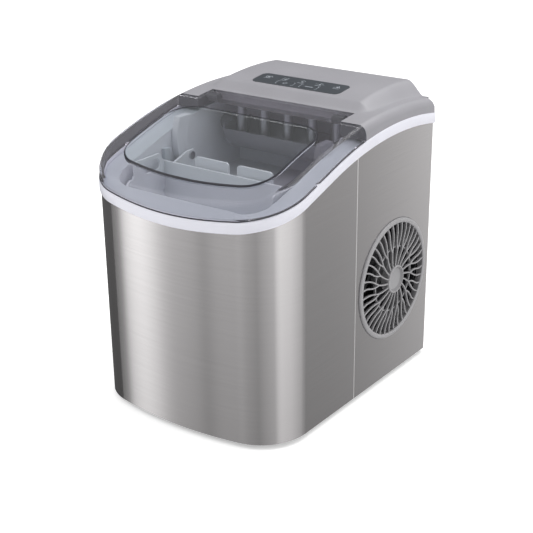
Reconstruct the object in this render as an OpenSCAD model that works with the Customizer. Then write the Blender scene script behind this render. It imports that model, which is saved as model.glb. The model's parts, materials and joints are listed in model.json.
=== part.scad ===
// Countertop ice maker: steel body, see-through lid over an ice basket, tilting water
// tray under a row of freezing fingers, and a compressor cooling unit at the back.
// +X is the fan grille side, +Y the back. The origin is on the surface that the feet
// stand on, under the middle of the body.

/* [Body] */
// Width over the steel
body_w = 224; // [216:1:250]
// Depth over the steel
body_d = 280; // [276:1:300]
// Radius of the bowed front in plan
front_r = 354.5; // [300:5:450]
// Radius of the two front corners in plan
corner_r = 50; // [42:1:60]
// Radius of the two rear corners in plan
rear_corner_r = 4; // [3.5:0.5:6]
// Height of the steel at its highest point
crown_h = 253.5; // [250:0.5:275]
// Radius of the crown seen from the side
crown_r = 366; // [340:5:420]
// Highest point of the crown, measured from the front
crown_y = 212; // [205:1:220]
// Slope of the straight stretch ahead of the crown
slope_deg = 17.74; // [16:0.5:19]
// Radius where the slope turns down to the front
nose_r = 70; // [60:5:90]
// Length of that turn
nose_len = 18; // [12:1:22]
// Thickness of the steel sheet
steel_t = 1; // [0.8:0.1:1.4]
// Seam between front wrap and side panel, measured from the front
seam_y = 139; // [130:1:150]
// Width of the seam
seam_w = 0.6; // [0.3:0.1:1]

/* [Base] */
// Height of the rubber feet
foot_h = 5; // [4:0.5:10]
// Radius of the rubber feet
foot_r = 9; // [7:0.5:12]
// Feet in from the sides
foot_in_x = 27; // [22:1:40]
// Feet in from front and back
foot_in_y = 35; // [28:1:50]
// Floor of the base pan
pan_t = 3; // [2:0.5:4]
// Height of the base pan's rim
pan_rim_h = 12; // [8:1:16]
// Thickness of the base pan's rim
pan_rim_t = 2.4; // [1.6:0.2:3]

/* [Trim band] */
// Height of the trim band
trim_h = 10.5; // [9:0.5:14]
// How far it stands proud of the steel
trim_out = 1.5; // [1:0.1:2]
// Thickness of its upper wall
trim_t = 3.5; // [3:0.1:4.5]
// Width of the ledge inside it
trim_ledge_w = 7; // [6:0.5:9]
// Thickness of that ledge
trim_ledge_t = 4; // [3:0.5:5]

/* [Lid and cover skin] */
// Rise of the lid and cover skin over the steel's crown
skin_rise = 23.5; // [21:0.5:27]
// Radius of that skin seen from the side
skin_r = 480; // [450:10:520]
// Radius of the skin's edge round
edge_r = 8; // [6:0.5:9]
// Wall of the lid
lid_wall = 2.8; // [2.2:0.2:3.4]
// Wall of the cover
cover_wall = 3; // [2.4:0.2:3.6]
// Rear edge of the lid beside the tab
lid_rear = 150.3; // [146:0.5:153]
// Half width of the lid's rear tab
tab_half_w = 83.4; // [80:0.5:86]
// Rear edge of the tab
tab_rear = 174.2; // [172:0.2:175]
// Gap between lid and cover
lid_gap = 1.2; // [0.8:0.1:1.6]
// Gap between lid and trim band
lid_seat = 0.4; // [0.35:0.05:0.6]

/* [Lid window] */
// Half width of the window
window_hw = 87; // [80:1:90]
// Front edge of the window
window_front = 21.3; // [18:0.5:28]
// Rear edge of the window
window_rear = 129.8; // [120:1:134]
// Corner radius of the window
window_r = 29; // [22:1:34]
// Radius of its bowed front
window_bow_r = 327; // [300:5:420]
// How far the window stands over the skin
window_lift = 1; // [0.6:0.1:1.5]

/* [Lid hinge] */
// Hinge axis, measured from the front
hinge_y = 165; // [163:0.5:166]
// Hinge axis below the skin
hinge_drop = 4.9; // [4.7:0.1:5.6]
// Radius of the hinge pins
pin_r = 2; // [1.5:0.1:2.4]
// Radius of the lid's hinge knuckles
knuckle_r = 4.4; // [4:0.1:4.6]
// Length of each knuckle
knuckle_len = 12; // [8:1:16]

/* [Control hump] */
// Height of the hump over the steel's crown
hump_rise = 34.9; // [33:0.1:38]
// Radius of the hump seen from the side
hump_r = 340; // [300:10:400]
// Highest point of the hump, measured from the front
hump_y = 247; // [240:1:255]
// Foot of the hump's front slope
hump_foot_y = 176; // [175.5:0.5:178]
// Crease at the top of that slope
hump_crease_y = 189; // [186:0.5:192]
// Half width of the hump's top
hump_top_hw = 80; // [77:0.5:83]
// Half width of the hump's foot
hump_foot_hw = 102; // [98:0.5:104]
// Half width of the control overlay
overlay_hw = 52.4; // [48:0.5:58]
// Front edge of the control overlay
overlay_front = 194.8; // [193.6:0.2:196]
// Rear edge of the control overlay
overlay_rear = 220.9; // [219:0.2:223]
// Width of a key
key_w = 18.5; // [14:0.5:20]
// Depth of a key, front to back
key_d = 7; // [5:0.5:8]
// Distance of each key from the middle
key_x = 14.2; // [12.4:0.2:16]
// Key row, measured from the front
key_y = 201.8; // [201:0.1:202.8]
// Travel of a key
key_travel = 0.5; // [0.3:0.1:0.6]
// Spacing of the status lamps
lamp_pitch = 20.7; // [15:0.1:22]
// Lamp row, measured from the front
lamp_y = 212; // [211:0.5:216]

/* [Tub and basket] */
// Half width inside the tub
tub_hw = 88; // [86:0.5:92]
// Front of the tub inside
tub_front = 22; // [18:0.5:24]
// Rear of the tub's lower part inside
tub_rear = 128; // [122:1:132]
// Corner radius of the tub
tub_r = 26; // [18:1:32]
// Floor of the tub
tub_floor = 45; // [38:1:55]
// Wall of the tub
tub_wall = 2.4; // [1.8:0.2:3]
// Floor of the bay behind, under the water tray
bay_floor = 190; // [184:1:194]
// Rear of that bay inside
bay_rear = 222; // [221:0.5:224]
// Thickness of the tub's rim
tub_rim_t = 2.5; // [2:0.5:3]
// Gap between the basket and each side of the tub
basket_gap = 6; // [5:0.5:12]
// Front of the basket
basket_front = 27; // [25:0.5:32]
// Rear of the basket
basket_rear = 94; // [86:0.5:94.5]
// Corner radius of the basket
basket_r = 20; // [14:1:26]
// Underside of the basket
basket_floor = 110; // [100:1:125]
// Wall of the basket
basket_wall = 2.2; // [1.8:0.2:2.6]
// Basket rim below the steel's top edge
basket_drop = 3; // [2:0.5:6]
// Height of the basket's level rear rim
basket_top = 221.5; // [216:0.5:225]
// Front of the raised ear on each side of the basket
ear_front = 50; // [46:1:56]
// Rear of that ear
ear_rear = 88.5; // [84:0.5:89]
// Height of the ears over the level rim
ear_rise = 8.5; // [7:0.5:10]
// Height of each drain slot's end radius
slot_r = 2; // [1.5:0.1:2.4]
// Spacing of the basket's drain slots
slot_pitch = 12; // [9:0.5:16]

/* [Freezing unit] */
// Radius of a freezing finger
finger_r = 4.8; // [4:0.1:5]
// Lower end of the fingers
finger_end = 229; // [226:0.5:232]
// From the last finger to the end of the tray
finger_in = 14; // [12:0.5:20]
// Front row of fingers
finger_front_y = 188; // [187:0.5:189]
// Rear row of fingers
finger_rear_y = 206; // [205:0.5:207]
// Radius of the evaporator pipe
evap_r = 5.5; // [5:0.1:5.8]
// Height of the evaporator pipe
evap_z = 271; // [270.5:0.1:271.5]
// Pivot of the water tray, measured from the front
tray_y = 197; // [196.5:0.1:197.5]
// Height of the tray's pivot
tray_z = 236; // [235:0.5:237]
// Radius inside the tray
tray_r = 21; // [20.5:0.1:21.5]
// Wall of the tray
tray_wall = 2; // [1.6:0.2:2.2]
// From the end of the tray to the tub's side
tray_gap = 16; // [14:0.5:20]
// Radius of the tray's shaft
shaft_r = 3; // [2.5:0.1:3.5]
// Radius of the gear motor
gear_motor_r = 15; // [12:0.5:16]
// Gap between the gear motor and the side panel
gear_motor_gap = 6.4; // [5:0.2:9]

/* [Ice rake] */
// Pivot of the rake, measured from the front
rake_y = 125; // [124:0.5:125.5]
// Height of the rake's pivot
rake_z = 220; // [218:0.5:222]
// Front face of the rake
rake_front = 98; // [97.5:0.5:99]
// Lower edge of the rake's blade
rake_low = 212; // [211:0.5:214]
// Upper edge of its tabs
rake_top = 230; // [228:0.5:231]
// Depth of the gap between the tabs
rake_gap_d = 12; // [10:0.5:14]
// Width of the gap between the tabs
rake_gap_w = 10; // [8:0.5:16]
// Gap between the rake and each side of the tub
rake_gap = 12; // [11:0.5:16]
// From the end of the rake to its tabs
rake_tab_in = 30; // [24:1:36]
// Thickness of the rake
rake_t = 2.4; // [2:0.2:3]

/* [Fan] */
// Fan axis, measured from the front
fan_y = 207.2; // [205:0.2:209]
// Height of the fan axis
fan_z = 104.9; // [100:0.5:110]
// Outer radius of the grille
grille_r = 61.7; // [60:0.1:63]
// Radius of the grille's open field
grille_open_r = 57; // [55.5:0.1:57.2]
// Radius of the hole in the side panel
grille_hole_r = 58.6; // [58.4:0.1:59]
// How far the grille's ring stands off the steel
grille_out = 2.2; // [1.6:0.1:3]
// How far its hub stands off the steel
grille_hub_out = 4.7; // [3.5:0.1:6]
// Radius of the grille's hub
grille_hub_r = 14.2; // [12:0.2:16]
// Radius of the ring half way out
grille_mid_r = 33; // [30:0.5:36]
// How far that ring lies behind the vanes' front
ring_back = 2.2; // [1.4:0.1:2.6]
// Number of inner vanes, with two outer vanes to each
vane_count = 20; // [14:1:22]
// Thickness of a vane
vane_t = 1.5; // [1.2:0.1:1.8]
// Depth of the grille behind the steel's face
grille_depth = 4.5; // [3.5:0.5:6]
// Radius over the fan blades
fan_r = 50; // [44:0.5:51]
// Radius of the fan's hub
fan_hub_r = 12; // [10:0.5:16]
// Number of fan blades
blade_count = 5; // [3:1:7]
// Pitch of the fan blades
blade_pitch = 32; // [25:1:35]
// Radius of the fan motor
fan_motor_r = 17; // [15:0.5:20]
// Length of the fan motor
fan_motor_len = 24; // [18:1:26]
// Radius of the fan's shaft
fan_shaft_r = 2; // [1.5:0.1:2.5]
// Radius inside the shroud
shroud_r = 53; // [52.5:0.1:54]
// Wall of the shroud
shroud_t = 2.5; // [2:0.1:3]

/* [Cooling unit] */
// Radius of the compressor
comp_r = 45; // [40:0.5:46]
// Height of the compressor's shell
comp_h = 112; // [95:1:120]
// Compressor in from the middle
comp_x = 52; // [51.5:0.5:53]
// Compressor in from the back
comp_in_y = 64; // [62:1:66]
// Height of the rubber mounts
mount_h = 9; // [7:0.5:12]
// Radius of the rubber mounts
mount_r = 7; // [6:0.5:8]
// Inner face of the condenser
cond_x = 14; // [13:0.5:15]
// Thickness of the condenser
cond_t = 22; // [18:1:24]
// Width of the condenser, front to back
cond_w = 98; // [90:1:104]
// Spacing of the condenser's fins
fin_pitch = 5; // [4:0.5:7]
// Thickness of a fin
fin_t = 0.7; // [0.5:0.1:1]
// Radius of the refrigerant lines
line_r = 2.4; // [2:0.1:3]

/* [Water and power] */
// Radius of the water hoses
hose_r = 4; // [3.5:0.1:4.5]
// Height of the drain line
drain_z = 24; // [22.5:0.5:30]
// Place of the drain line from the middle
drain_x = 4.5; // [4.5:0.5:5]
// Radius of the drain plug's stem
drain_r = 6; // [5:0.1:6.5]
// Place of the cord gland from the middle
gland_x = 70; // [62:1:76]
// Height of the cord gland
gland_z = 30; // [28:1:36]
// Radius of the cord gland's bore
gland_bore_r = 3.4; // [3:0.1:4]

/* [Fits] */
// Clearance between parts that move past each other
clear = 0.35; // [0.3:0.05:0.5]
// Gap between fixed parts that nest
fit_gap = 0.2; // [0.1:0.05:0.3]
// Radial clearance of a pin in its bore
pin_clear = 0.05; // [0.03:0.01:0.08]

/* [Hidden] */

$fn = 64;
BIG = 600;          // larger than the whole object
SMOOTH = 720;       // segments on the large arcs

half_w = body_w / 2;
corner_x = half_w - corner_r;
corner_y = front_r - sqrt(pow(front_r - corner_r, 2) - pow(corner_x, 2));
bow_deg = asin(corner_x / (front_r - corner_r));

// Steel top edge seen from the side: crown arc, straight slope, nose arc
crown_start_y = crown_y - crown_r * sin(slope_deg);
crown_start_z = crown_h - crown_r * (1 - cos(slope_deg));
nose_z = crown_start_z - (crown_start_y - nose_len) * tan(slope_deg);
nose_cy = nose_len + nose_r * sin(slope_deg);
nose_cz = nose_z - nose_r * cos(slope_deg);
skin_h = crown_h + skin_rise;
hump_h = crown_h + hump_rise;
hinge_z = skin_z(hinge_y) - hinge_drop;
pocket_r = norm([tab_rear - hinge_y, skin_z(tab_rear) - hinge_z]) + 0.8;
comp_y = body_d - comp_in_y;
basket_hw = tub_hw - basket_gap;
tray_hw = tub_hw - tray_gap;
rake_hw = tub_hw - rake_gap;
rake_tab_hw = rake_hw - rake_tab_in;
finger_pitch = (tray_hw - finger_in) / 2;
gear_motor_len = half_w - steel_t - gear_motor_gap - tub_hw - tub_wall - fit_gap;

function edge_z(y) =
    y < nose_len ? nose_cz + sqrt(pow(nose_r, 2) - pow(y - nose_cy, 2))
    : y < crown_start_y ? nose_z + (y - nose_len) * tan(slope_deg)
    : crown_h - crown_r + sqrt(pow(crown_r, 2) - pow(y - crown_y, 2));
function skin_z(y) = skin_h - skin_r + sqrt(pow(skin_r, 2) - pow(y - crown_y, 2));
function hump_z(y) = hump_h - hump_r + sqrt(pow(hump_r, 2) - pow(y - hump_y, 2));
function ease(u) = let (v = min(1, max(0, u))) v * v * (3 - 2 * v);

// ---- frames and profiles ----

// Puts the body's own frame (front at y = 0, steel's lower edge at z = 0) in place
module placed() {
    translate([0, -body_d / 2, foot_h]) children();
}

// Extrudes a (y, z) outline along X, centred
module along_x(width) {
    translate([-width / 2, 0, 0]) rotate([90, 0, 90]) linear_extrude(width) children();
}

// Extrudes a (y, z) outline from x to x + width
module from_x(x, width) {
    translate([x, 0, 0]) rotate([90, 0, 90]) linear_extrude(width) children();
}

module x_rod(r, x, length, y, z) {
    translate([x, y, z]) rotate([0, 90, 0]) cylinder(r = r, h = length);
}

module y_rod(r, y, length, x, z) {
    translate([x, y, z]) rotate([-90, 0, 0]) cylinder(r = r, h = length);
}

module box(x0, x1, y0, y1, z0, z1) {
    translate([x0, y0, z0]) cube([x1 - x0, y1 - y0, z1 - z0]);
}

module both_sides() {
    children();
    mirror([1, 0, 0]) children();
}

// Plan of the body, drawn in by inset
module plan(inset = 0) {
    r_rear = max(0.5, rear_corner_r - inset);
    intersection() {
        translate([0, front_r]) circle(r = front_r - inset, $fn = SMOOTH);
        polygon([[corner_x, corner_y], [-corner_x, corner_y],
                 [-front_r * tan(bow_deg), 0], [-front_r * tan(bow_deg), -10],
                 [front_r * tan(bow_deg), -10], [front_r * tan(bow_deg), 0]]);
    }
    for (s = [-1, 1])
        translate([s * corner_x, corner_y]) circle(r = corner_r - inset, $fn = 128);
    translate([inset - half_w, corner_y])
        square([body_w - 2 * inset, body_d - inset - r_rear - corner_y]);
    translate([inset + r_rear - half_w, corner_y])
        square([body_w - 2 * (inset + r_rear), body_d - inset - corner_y]);
    for (s = [-1, 1])
        translate([s * (half_w - inset - r_rear), body_d - inset - r_rear])
            circle(r = r_rear, $fn = 32);
}

module plan_block(inset, z0 = -20, z1 = 320) {
    translate([0, 0, z0]) linear_extrude(z1 - z0) plan(inset);
}

// Everything under the steel's top edge, raised by dz
NOSE_END = 58;      // steepest part of the nose arc that is drawn
module under_edge(dz = 0) {
    back_end = asin((body_d + 20 - crown_y) / crown_r);
    nose = [for (i = [0 : 6])
        let (a = NOSE_END + (slope_deg - NOSE_END) * i / 6)
        [nose_cy - nose_r * sin(a), nose_cz + nose_r * cos(a)]];
    crown = [for (i = [0 : 14])
        let (a = slope_deg - (slope_deg + back_end) * i / 14)
        [crown_y - crown_r * sin(a), crown_h - crown_r * (1 - cos(a))]];
    line = concat(nose, crown);
    translate([0, dz])
        polygon(concat([[line[0].x, -60]], line, [[line[len(line) - 1].x, -60]]));
}

module under_skin(dz = 0) {
    translate([crown_y, skin_h - skin_r + dz]) circle(r = skin_r, $fn = SMOOTH);
}

module under_hump(dz = 0) {
    translate([hump_y, hump_h - hump_r + dz]) circle(r = hump_r, $fn = SMOOTH);
}

// A solid wall of the body's plan, between two insets, below the raised edge
module ring_wall(inset0, inset1, dz) {
    intersection() {
        difference() {
            plan_block(inset0);
            plan_block(inset1);
        }
        along_x(BIG) under_edge(dz);
    }
}

// Rounded plan of the tub and basket: bowed front corners, square back
module tub_plan(hw, y0, y1, r) {
    translate([-hw, y0 + r]) square([2 * hw, y1 - y0 - r]);
    translate([r - hw, y0]) square([2 * (hw - r), y1 - y0]);
    for (s = [-1, 1])
        translate([s * (hw - r), y0 + r]) circle(r = r);
}

// Points of an arc from angle a0 to a1, angles measured from -Y towards +X
function arc_points(cx, cy, r, a0, a1, steps) =
    [for (i = [0 : steps])
        let (a = a0 + (a1 - a0) * i / steps)
        [cx + r * sin(a), cy - r * cos(a)]];

// Plan of the window: bowed front, four round corners
module window_plan(inset = 0) {
    cx = window_hw - window_r;
    reach = window_bow_r - window_r;
    cy = window_front + window_bow_r - sqrt(pow(reach, 2) - pow(cx, 2));
    bow = asin(cx / reach);
    r = window_r - inset;
    right = concat(
        arc_points(0, window_front + window_bow_r, window_bow_r - inset, 1, bow - 2, 4),
        arc_points(cx, cy, r, bow, 90, 8),
        arc_points(cx, window_rear - window_r, r, 90, 180, 8));
    polygon(concat(right, [for (i = [len(right) - 1 : -1 : 0]) [-right[i].x, right[i].y]]));
}

// A tube or rod that follows points, with round elbows
module line_run(points, r) {
    for (i = [0 : len(points) - 2]) {
        a = points[i];
        d = points[i + 1] - a;
        translate(a)
            rotate([0, acos(d.z / norm(d)), atan2(d.y, d.x)])
                cylinder(r = r, h = norm(d), $fn = 24);
    }
    for (i = [1 : 1 : len(points) - 2])
        translate(points[i]) sphere(r = r, $fn = 24);
}

// ---- moulded skin of lid and cover ----

COVER_OUT = 1;      // lid and cover stand out this far at their lower edge
BOW_STEPS = 3;
CORNER_STEPS = 5;
SIDE_STEPS = 6;
REAR_STEPS = 2;
ROUND_STEPS = 3;

// Right half of the body's plan, front to back, cut between y0 and y1
function half_ring(inset, y0, y1, rear_r) = concat(
    y0 > corner_y ? [] : [for (i = [0 : BOW_STEPS - 1])
        let (a = bow_deg * (i + 0.5) / BOW_STEPS)
        [(front_r - inset) * sin(a), front_r - (front_r - inset) * cos(a)]],
    y0 > corner_y ? [] : [for (i = [0 : CORNER_STEPS])
        let (a = bow_deg + (90 - bow_deg) * i / CORNER_STEPS)
        [corner_x + (corner_r - inset) * sin(a), corner_y - (corner_r - inset) * cos(a)]],
    [for (i = [y0 > corner_y ? 0 : 1 : SIDE_STEPS])
        let (ya = max(y0, corner_y), yb = y1 - (rear_r > 0 ? inset + rear_r : 0))
        [half_w - inset, ya + (yb - ya) * i / SIDE_STEPS]],
    rear_r > 0 ? [for (i = [1 : REAR_STEPS])
        let (a = 90 * i / (REAR_STEPS + 0.5))
        [half_w - inset - rear_r * (1 - cos(a)), y1 - inset - rear_r * (1 - sin(a))]] : []
);

// Inset and drop below the skin at each level of the edge round
function edge_levels(out) = concat(
    [[-out, 22]],
    [for (i = [0 : ROUND_STEPS])
        let (a = 90 * i / ROUND_STEPS)
        [edge_r * (1 - cos(a)) - (i == 0 ? out / 2 : 0), edge_r * (1 - sin(a))]]
);

// Solid under the skin: rings stacked up the edge round, closed by strips across the top
module skin_solid(y0, y1, rear_r, out) {
    levels = edge_levels(out);
    halves = [for (l = levels) half_ring(l[0], y0, y1, rear_r)];
    n = len(halves[0]);
    m = 2 * n;
    top = (len(levels) - 1) * m;
    points = [for (k = [0 : len(levels) - 1])
        each concat(
            [for (p = halves[k]) [p.x, p.y, skin_z(p.y) - levels[k][1]]],
            [for (i = [n - 1 : -1 : 0]) let (p = halves[k][i])
                [-p.x, p.y, skin_z(p.y) - levels[k][1]]])];
    sides = [for (k = [0 : len(levels) - 2], i = [0 : m - 1])
        let (a = k * m + i, b = k * m + (i + 1) % m)
        each [[a, a + m, b + m], [a, b + m, b]]];
    caps = [for (i = [0 : n - 2])
        let (a = i, b = m - 1 - i)
        each [[a, a + 1, b - 1], [a, b - 1, b],
              [top + a, top + b - 1, top + a + 1], [top + a, top + b, top + b - 1]]];
    polyhedron(points, concat(sides, caps), convexity = 6);
}

HUMP_DIP = 1.5;     // how far the hump's foot sits under the skin
hump_xs = concat([-hump_foot_hw],
    [for (i = [1 : 3]) -hump_foot_hw + (hump_foot_hw - hump_top_hw) * i / 4],
    [-hump_top_hw, hump_top_hw],
    [for (i = [3 : -1 : 1]) hump_foot_hw - (hump_foot_hw - hump_top_hw) * i / 4],
    [hump_foot_hw]);
hump_ys = concat(
    [for (i = [0 : 2]) hump_foot_y + (hump_crease_y - hump_foot_y) * i / 3],
    [for (i = [0 : 5]) hump_crease_y + (body_d + COVER_OUT - hump_crease_y) * i / 5]);

// Straight front slope and eased sides, joined round each front corner
function hump_skin(x, y) =
    let (low = skin_z(y) - HUMP_DIP,
         a = max(0, (abs(x) - hump_top_hw) / (hump_foot_hw - hump_top_hw)),
         b = max(0, (hump_crease_y - y) / (hump_crease_y - hump_foot_y)),
         down = min(1, norm([a, b])),
         share = down > 0 ? b * b / (a * a + b * b) : 0)
    low + (hump_z(y) - low) * (share * (1 - down) + (1 - share) * ease(1 - down));

module hump_solid() {
    nx = len(hump_xs);
    ny = len(hump_ys);
    low = skin_z(body_d) - 12;
    base = nx * ny;
    points = concat(
        [for (y = hump_ys, x = hump_xs) [x, y, hump_skin(x, y)]],
        [for (y = hump_ys, x = hump_xs) [x, y, low]]);
    rim = concat(
        [for (i = [0 : nx - 1]) i],
        [for (j = [1 : ny - 1]) j * nx + nx - 1],
        [for (i = [nx - 2 : -1 : 0]) (ny - 1) * nx + i],
        [for (j = [ny - 2 : -1 : 1]) j * nx]);
    count = len(rim);
    faces = concat(
        [for (j = [0 : ny - 2], i = [0 : nx - 2])
            let (a = j * nx + i, b = base + a)
            each [[a, a + nx, a + nx + 1], [a, a + nx + 1, a + 1],
                  [b, b + nx + 1, b + nx], [b, b + 1, b + nx + 1]]],
        [for (i = [0 : count - 1])
            let (j = rim[i], k = rim[(i + 1) % count])
            each [[j, k, base + k], [j, base + k, base + j]]]);
    polyhedron(points, faces, convexity = 6);
}

// ---- casing ----

module base_pan() {
    outer = steel_t + fit_gap;
    color("dimgray") placed() {
        difference() {
            plan_block(outer, 0, pan_rim_h);
            plan_block(outer + pan_rim_t, pan_t, pan_rim_h + 1);
            rear_screw_holes(pan_rim_h / 2);
        }
    }
}

module rubber_feet() {
    color("black") placed()
        both_sides()
            for (y = [foot_in_y, body_d - foot_in_y])
                translate([half_w - foot_in_x, y, -foot_h]) cylinder(r = foot_r, h = foot_h);
}

// Steel skin between two distances from the front
module steel_skin(y0, y1) {
    intersection() {
        ring_wall(0, steel_t, 0);
        box(-BIG, BIG, y0, y1, 0, BIG);
    }
}

module front_wrap() {
    color("silver") placed() steel_skin(-10, seam_y - seam_w / 2);
}

RETURN_W = 12;      // how far the side panels turn in on the back

module side_panel() {
    difference() {
        intersection() {
            steel_skin(seam_y + seam_w / 2, body_d + 1);
            box(half_w - RETURN_W, BIG, 0, BIG, 0, BIG);
        }
        x_rod(grille_hole_r, half_w - steel_t - 1, steel_t + 2, fan_y, fan_z);
    }
}

module right_panel() {
    color("silver") placed() side_panel();
}

module left_panel() {
    color("silver") placed() mirror([1, 0, 0]) side_panel();
}

LOUVRE_COUNT = 9;   // slots in each louvre field
LOUVRE_PITCH = 8;
LOUVRE_LEN = 60;
LOUVRE_Z = 70;      // lowest slot
SCREW_R = 1.6;
SCREW_HEAD_R = 3;
SCREW_HEAD_T = 1.2;
rear_screw_x = half_w - RETURN_W - 8;

module rear_screw_holes(z) {
    for (s = [-1, 0, 1])
        y_rod(SCREW_R + fit_gap, body_d - 8, 12, s * rear_screw_x + (s == 0 ? 30 : 0), z);
}

module rear_panel() {
    edge = half_w - RETURN_W - seam_w;
    color("silver") placed()
        difference() {
            intersection() {
                box(-edge, edge, body_d - steel_t, body_d, 0, BIG);
                along_x(BIG) under_edge(0);
            }
            for (s = [-1, 1], i = [0 : LOUVRE_COUNT - 1])
                box(s * 44 - LOUVRE_LEN / 2, s * 44 + LOUVRE_LEN / 2, body_d - 5, body_d + 5,
                    LOUVRE_Z + i * LOUVRE_PITCH, LOUVRE_Z + i * LOUVRE_PITCH + 3);
            y_rod(drain_r + DRAIN_SOCKET_T + fit_gap, body_d - 5, 10, drain_x, drain_z);
            y_rod(gland_bore_r + GLAND_T + fit_gap, body_d - 5, 10, gland_x, gland_z);
            rear_screw_holes(pan_rim_h / 2);
        }
}

module trim_band() {
    color("white") placed()
        difference() {
            union() {
                ring_wall(-trim_out, trim_t - trim_out, trim_h);
                ring_wall(-trim_out, trim_ledge_w - trim_out, trim_ledge_t);
            }
            along_x(BIG) under_edge(0);
        }
}

// Space above the trim band's top edge
module above_trim(gap = 0) {
    difference() {
        box(-BIG, BIG, -40, BIG, 150, BIG);
        along_x(BIG) under_edge(trim_h + gap);
    }
}

FLANK_WALL = 3;     // wall of the cover beside the lid's tab

// Keeps a key's or lamp's hole straight up through the hump
module key_column(x, grow, z0, z1) {
    box(x - key_w / 2 - grow, x + key_w / 2 + grow,
        key_y - key_d / 2 - grow, key_y + key_d / 2 + grow, z0, z1);
}

lamp_xs = [for (i = [-2 : 2]) i * lamp_pitch];
LAMP_R = 1.5;

module top_cover() {
    notch_hw = tab_half_w + lid_gap;
    flank_y = lid_rear + lid_gap;
    room_y = hinge_y + pocket_r + cover_wall;
    room_z = skin_z(hump_foot_y) - HUMP_DIP - 1.3 * cover_wall
             + (room_y - hump_foot_y) * (hump_z(hump_crease_y) - skin_z(hump_foot_y) + HUMP_DIP)
               / (hump_crease_y - hump_foot_y);
    color("darkgray") placed()
        difference() {
            intersection() {
                union() {
                    skin_solid(lid_rear - 10, body_d, rear_corner_r, COVER_OUT);
                    hump_solid();
                }
                above_trim();
                box(-BIG, BIG, flank_y, body_d + COVER_OUT, 0, BIG);
            }
            // notch and pocket for the lid's tab
            box(-notch_hw, notch_hw, 0, hinge_y, 0, BIG);
            box(-notch_hw, notch_hw, 0, tab_rear + lid_gap, hinge_z, BIG);
            x_rod(pocket_r, -notch_hw, 2 * notch_hw, hinge_y, hinge_z);
            // room inside, behind the pocket and in each flank
            intersection() {
                plan_block(cover_wall + 0.4);
                along_x(BIG) under_skin(-cover_wall);
                union() {
                    box(-BIG, BIG, room_y, BIG, 0, BIG);
                    both_sides()
                        box(notch_hw + FLANK_WALL, BIG, flank_y + FLANK_WALL, BIG, 0, BIG);
                }
            }
            // room inside the hump, under its front slope
            intersection() {
                along_x(2 * (hump_top_hw - cover_wall))
                    polygon([[room_y, 200], [room_y, room_z],
                             [hump_crease_y, hump_z(hump_crease_y) - 1.3 * cover_wall],
                             [hump_crease_y, 320], [body_d - cover_wall, 320],
                             [body_d - cover_wall, 200]]);
                along_x(BIG) under_hump(-cover_wall);
            }
            // recess of the overlay, holes of keys and lamps
            intersection() {
                overlay_block(fit_gap);
                along_x(BIG) difference() {
                    under_hump(5);
                    under_hump(-OVERLAY_SINK);
                }
            }
            for (s = [-1, 1]) key_column(s * key_x, clear, 270, BIG);
            for (x = lamp_xs)
                translate([x, lamp_y, 270]) cylinder(r = LAMP_R + fit_gap, h = 30);
            // bores of the hinge pins
            x_rod(pin_r + pin_clear, -notch_hw - FLANK_WALL - 1, 2 * (notch_hw + FLANK_WALL + 1),
                  hinge_y, hinge_z);
        }
    color("darkgray") placed() {
        for (s = [-1, 1], y = [BOARD_FRONT + 3, BOARD_REAR - 3])
            translate([s * (BOARD_HW - 3), y, BOARD_Z + BOARD_T])
                cylinder(r = 2, h = hump_z(y) - cover_wall - BOARD_Z - BOARD_T + 0.5);
    }
}

// ---- controls ----

OVERLAY_SINK = 0.5;
OVERLAY_T = 0.8;
OVERLAY_CORNER = 6.5;
BOARD_HW = 56;
BOARD_FRONT = 196;
BOARD_REAR = 228;
BOARD_T = 1.2;
BOARD_Z = hump_z(BOARD_FRONT) - cover_wall - 3;

module overlay_block(grow = 0) {
    hw = overlay_hw + grow;
    translate([0, 0, 270]) linear_extrude(40) {
        translate([-hw, overlay_front - grow + OVERLAY_CORNER])
            square([2 * hw, overlay_rear - overlay_front + 2 * (grow - OVERLAY_CORNER)]);
        translate([OVERLAY_CORNER - hw, overlay_front - grow])
            square([2 * (hw - OVERLAY_CORNER), overlay_rear - overlay_front + 2 * grow]);
        for (s = [-1, 1], y = [overlay_front - grow + OVERLAY_CORNER,
                               overlay_rear + grow - OVERLAY_CORNER])
            translate([s * (hw - OVERLAY_CORNER), y]) circle(r = OVERLAY_CORNER);
    }
}

module control_overlay() {
    color("slategray") placed()
        difference() {
            intersection() {
                overlay_block();
                along_x(BIG) difference() {
                    under_hump(OVERLAY_T - OVERLAY_SINK);
                    under_hump(-OVERLAY_SINK);
                }
            }
            for (s = [-1, 1]) key_column(s * key_x, clear, 270, BIG);
            for (x = lamp_xs)
                translate([x, lamp_y, 270]) cylinder(r = LAMP_R + fit_gap, h = 30);
        }
}

// A key's cap lies in the overlay, its stem reaches down to the board's switch
module key(x) {
    color("slategray") placed()
        intersection() {
            key_column(x, 0, BOARD_Z + BOARD_T + SWITCH_T + key_travel + 0.1, BIG);
            along_x(BIG) under_hump(OVERLAY_T - OVERLAY_SINK);
        }
}

module power_key() {
    key(-key_x);
}

module select_key() {
    key(key_x);
}

SWITCH_T = 0.6;

module control_board() {
    color("darkgreen") placed() {
        box(-BOARD_HW, BOARD_HW, BOARD_FRONT, BOARD_REAR, BOARD_Z, BOARD_Z + BOARD_T);
        for (s = [-1, 1])
            box(s * key_x - 3, s * key_x + 3, key_y - 2.5, key_y + 2.5,
                BOARD_Z + BOARD_T, BOARD_Z + BOARD_T + SWITCH_T);
    }
}

module status_lamps() {
    color("lightgray") placed()
        for (x = lamp_xs)
            translate([x, lamp_y, BOARD_Z + BOARD_T])
                cylinder(r = LAMP_R, h = hump_z(lamp_y) - BOARD_Z - BOARD_T);
}

// ---- lid ----

// Plan of the lid: full width ahead of the cover, then the narrower tab
KNUCKLE_IN = 3;      // knuckle in from the tab's side

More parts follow.
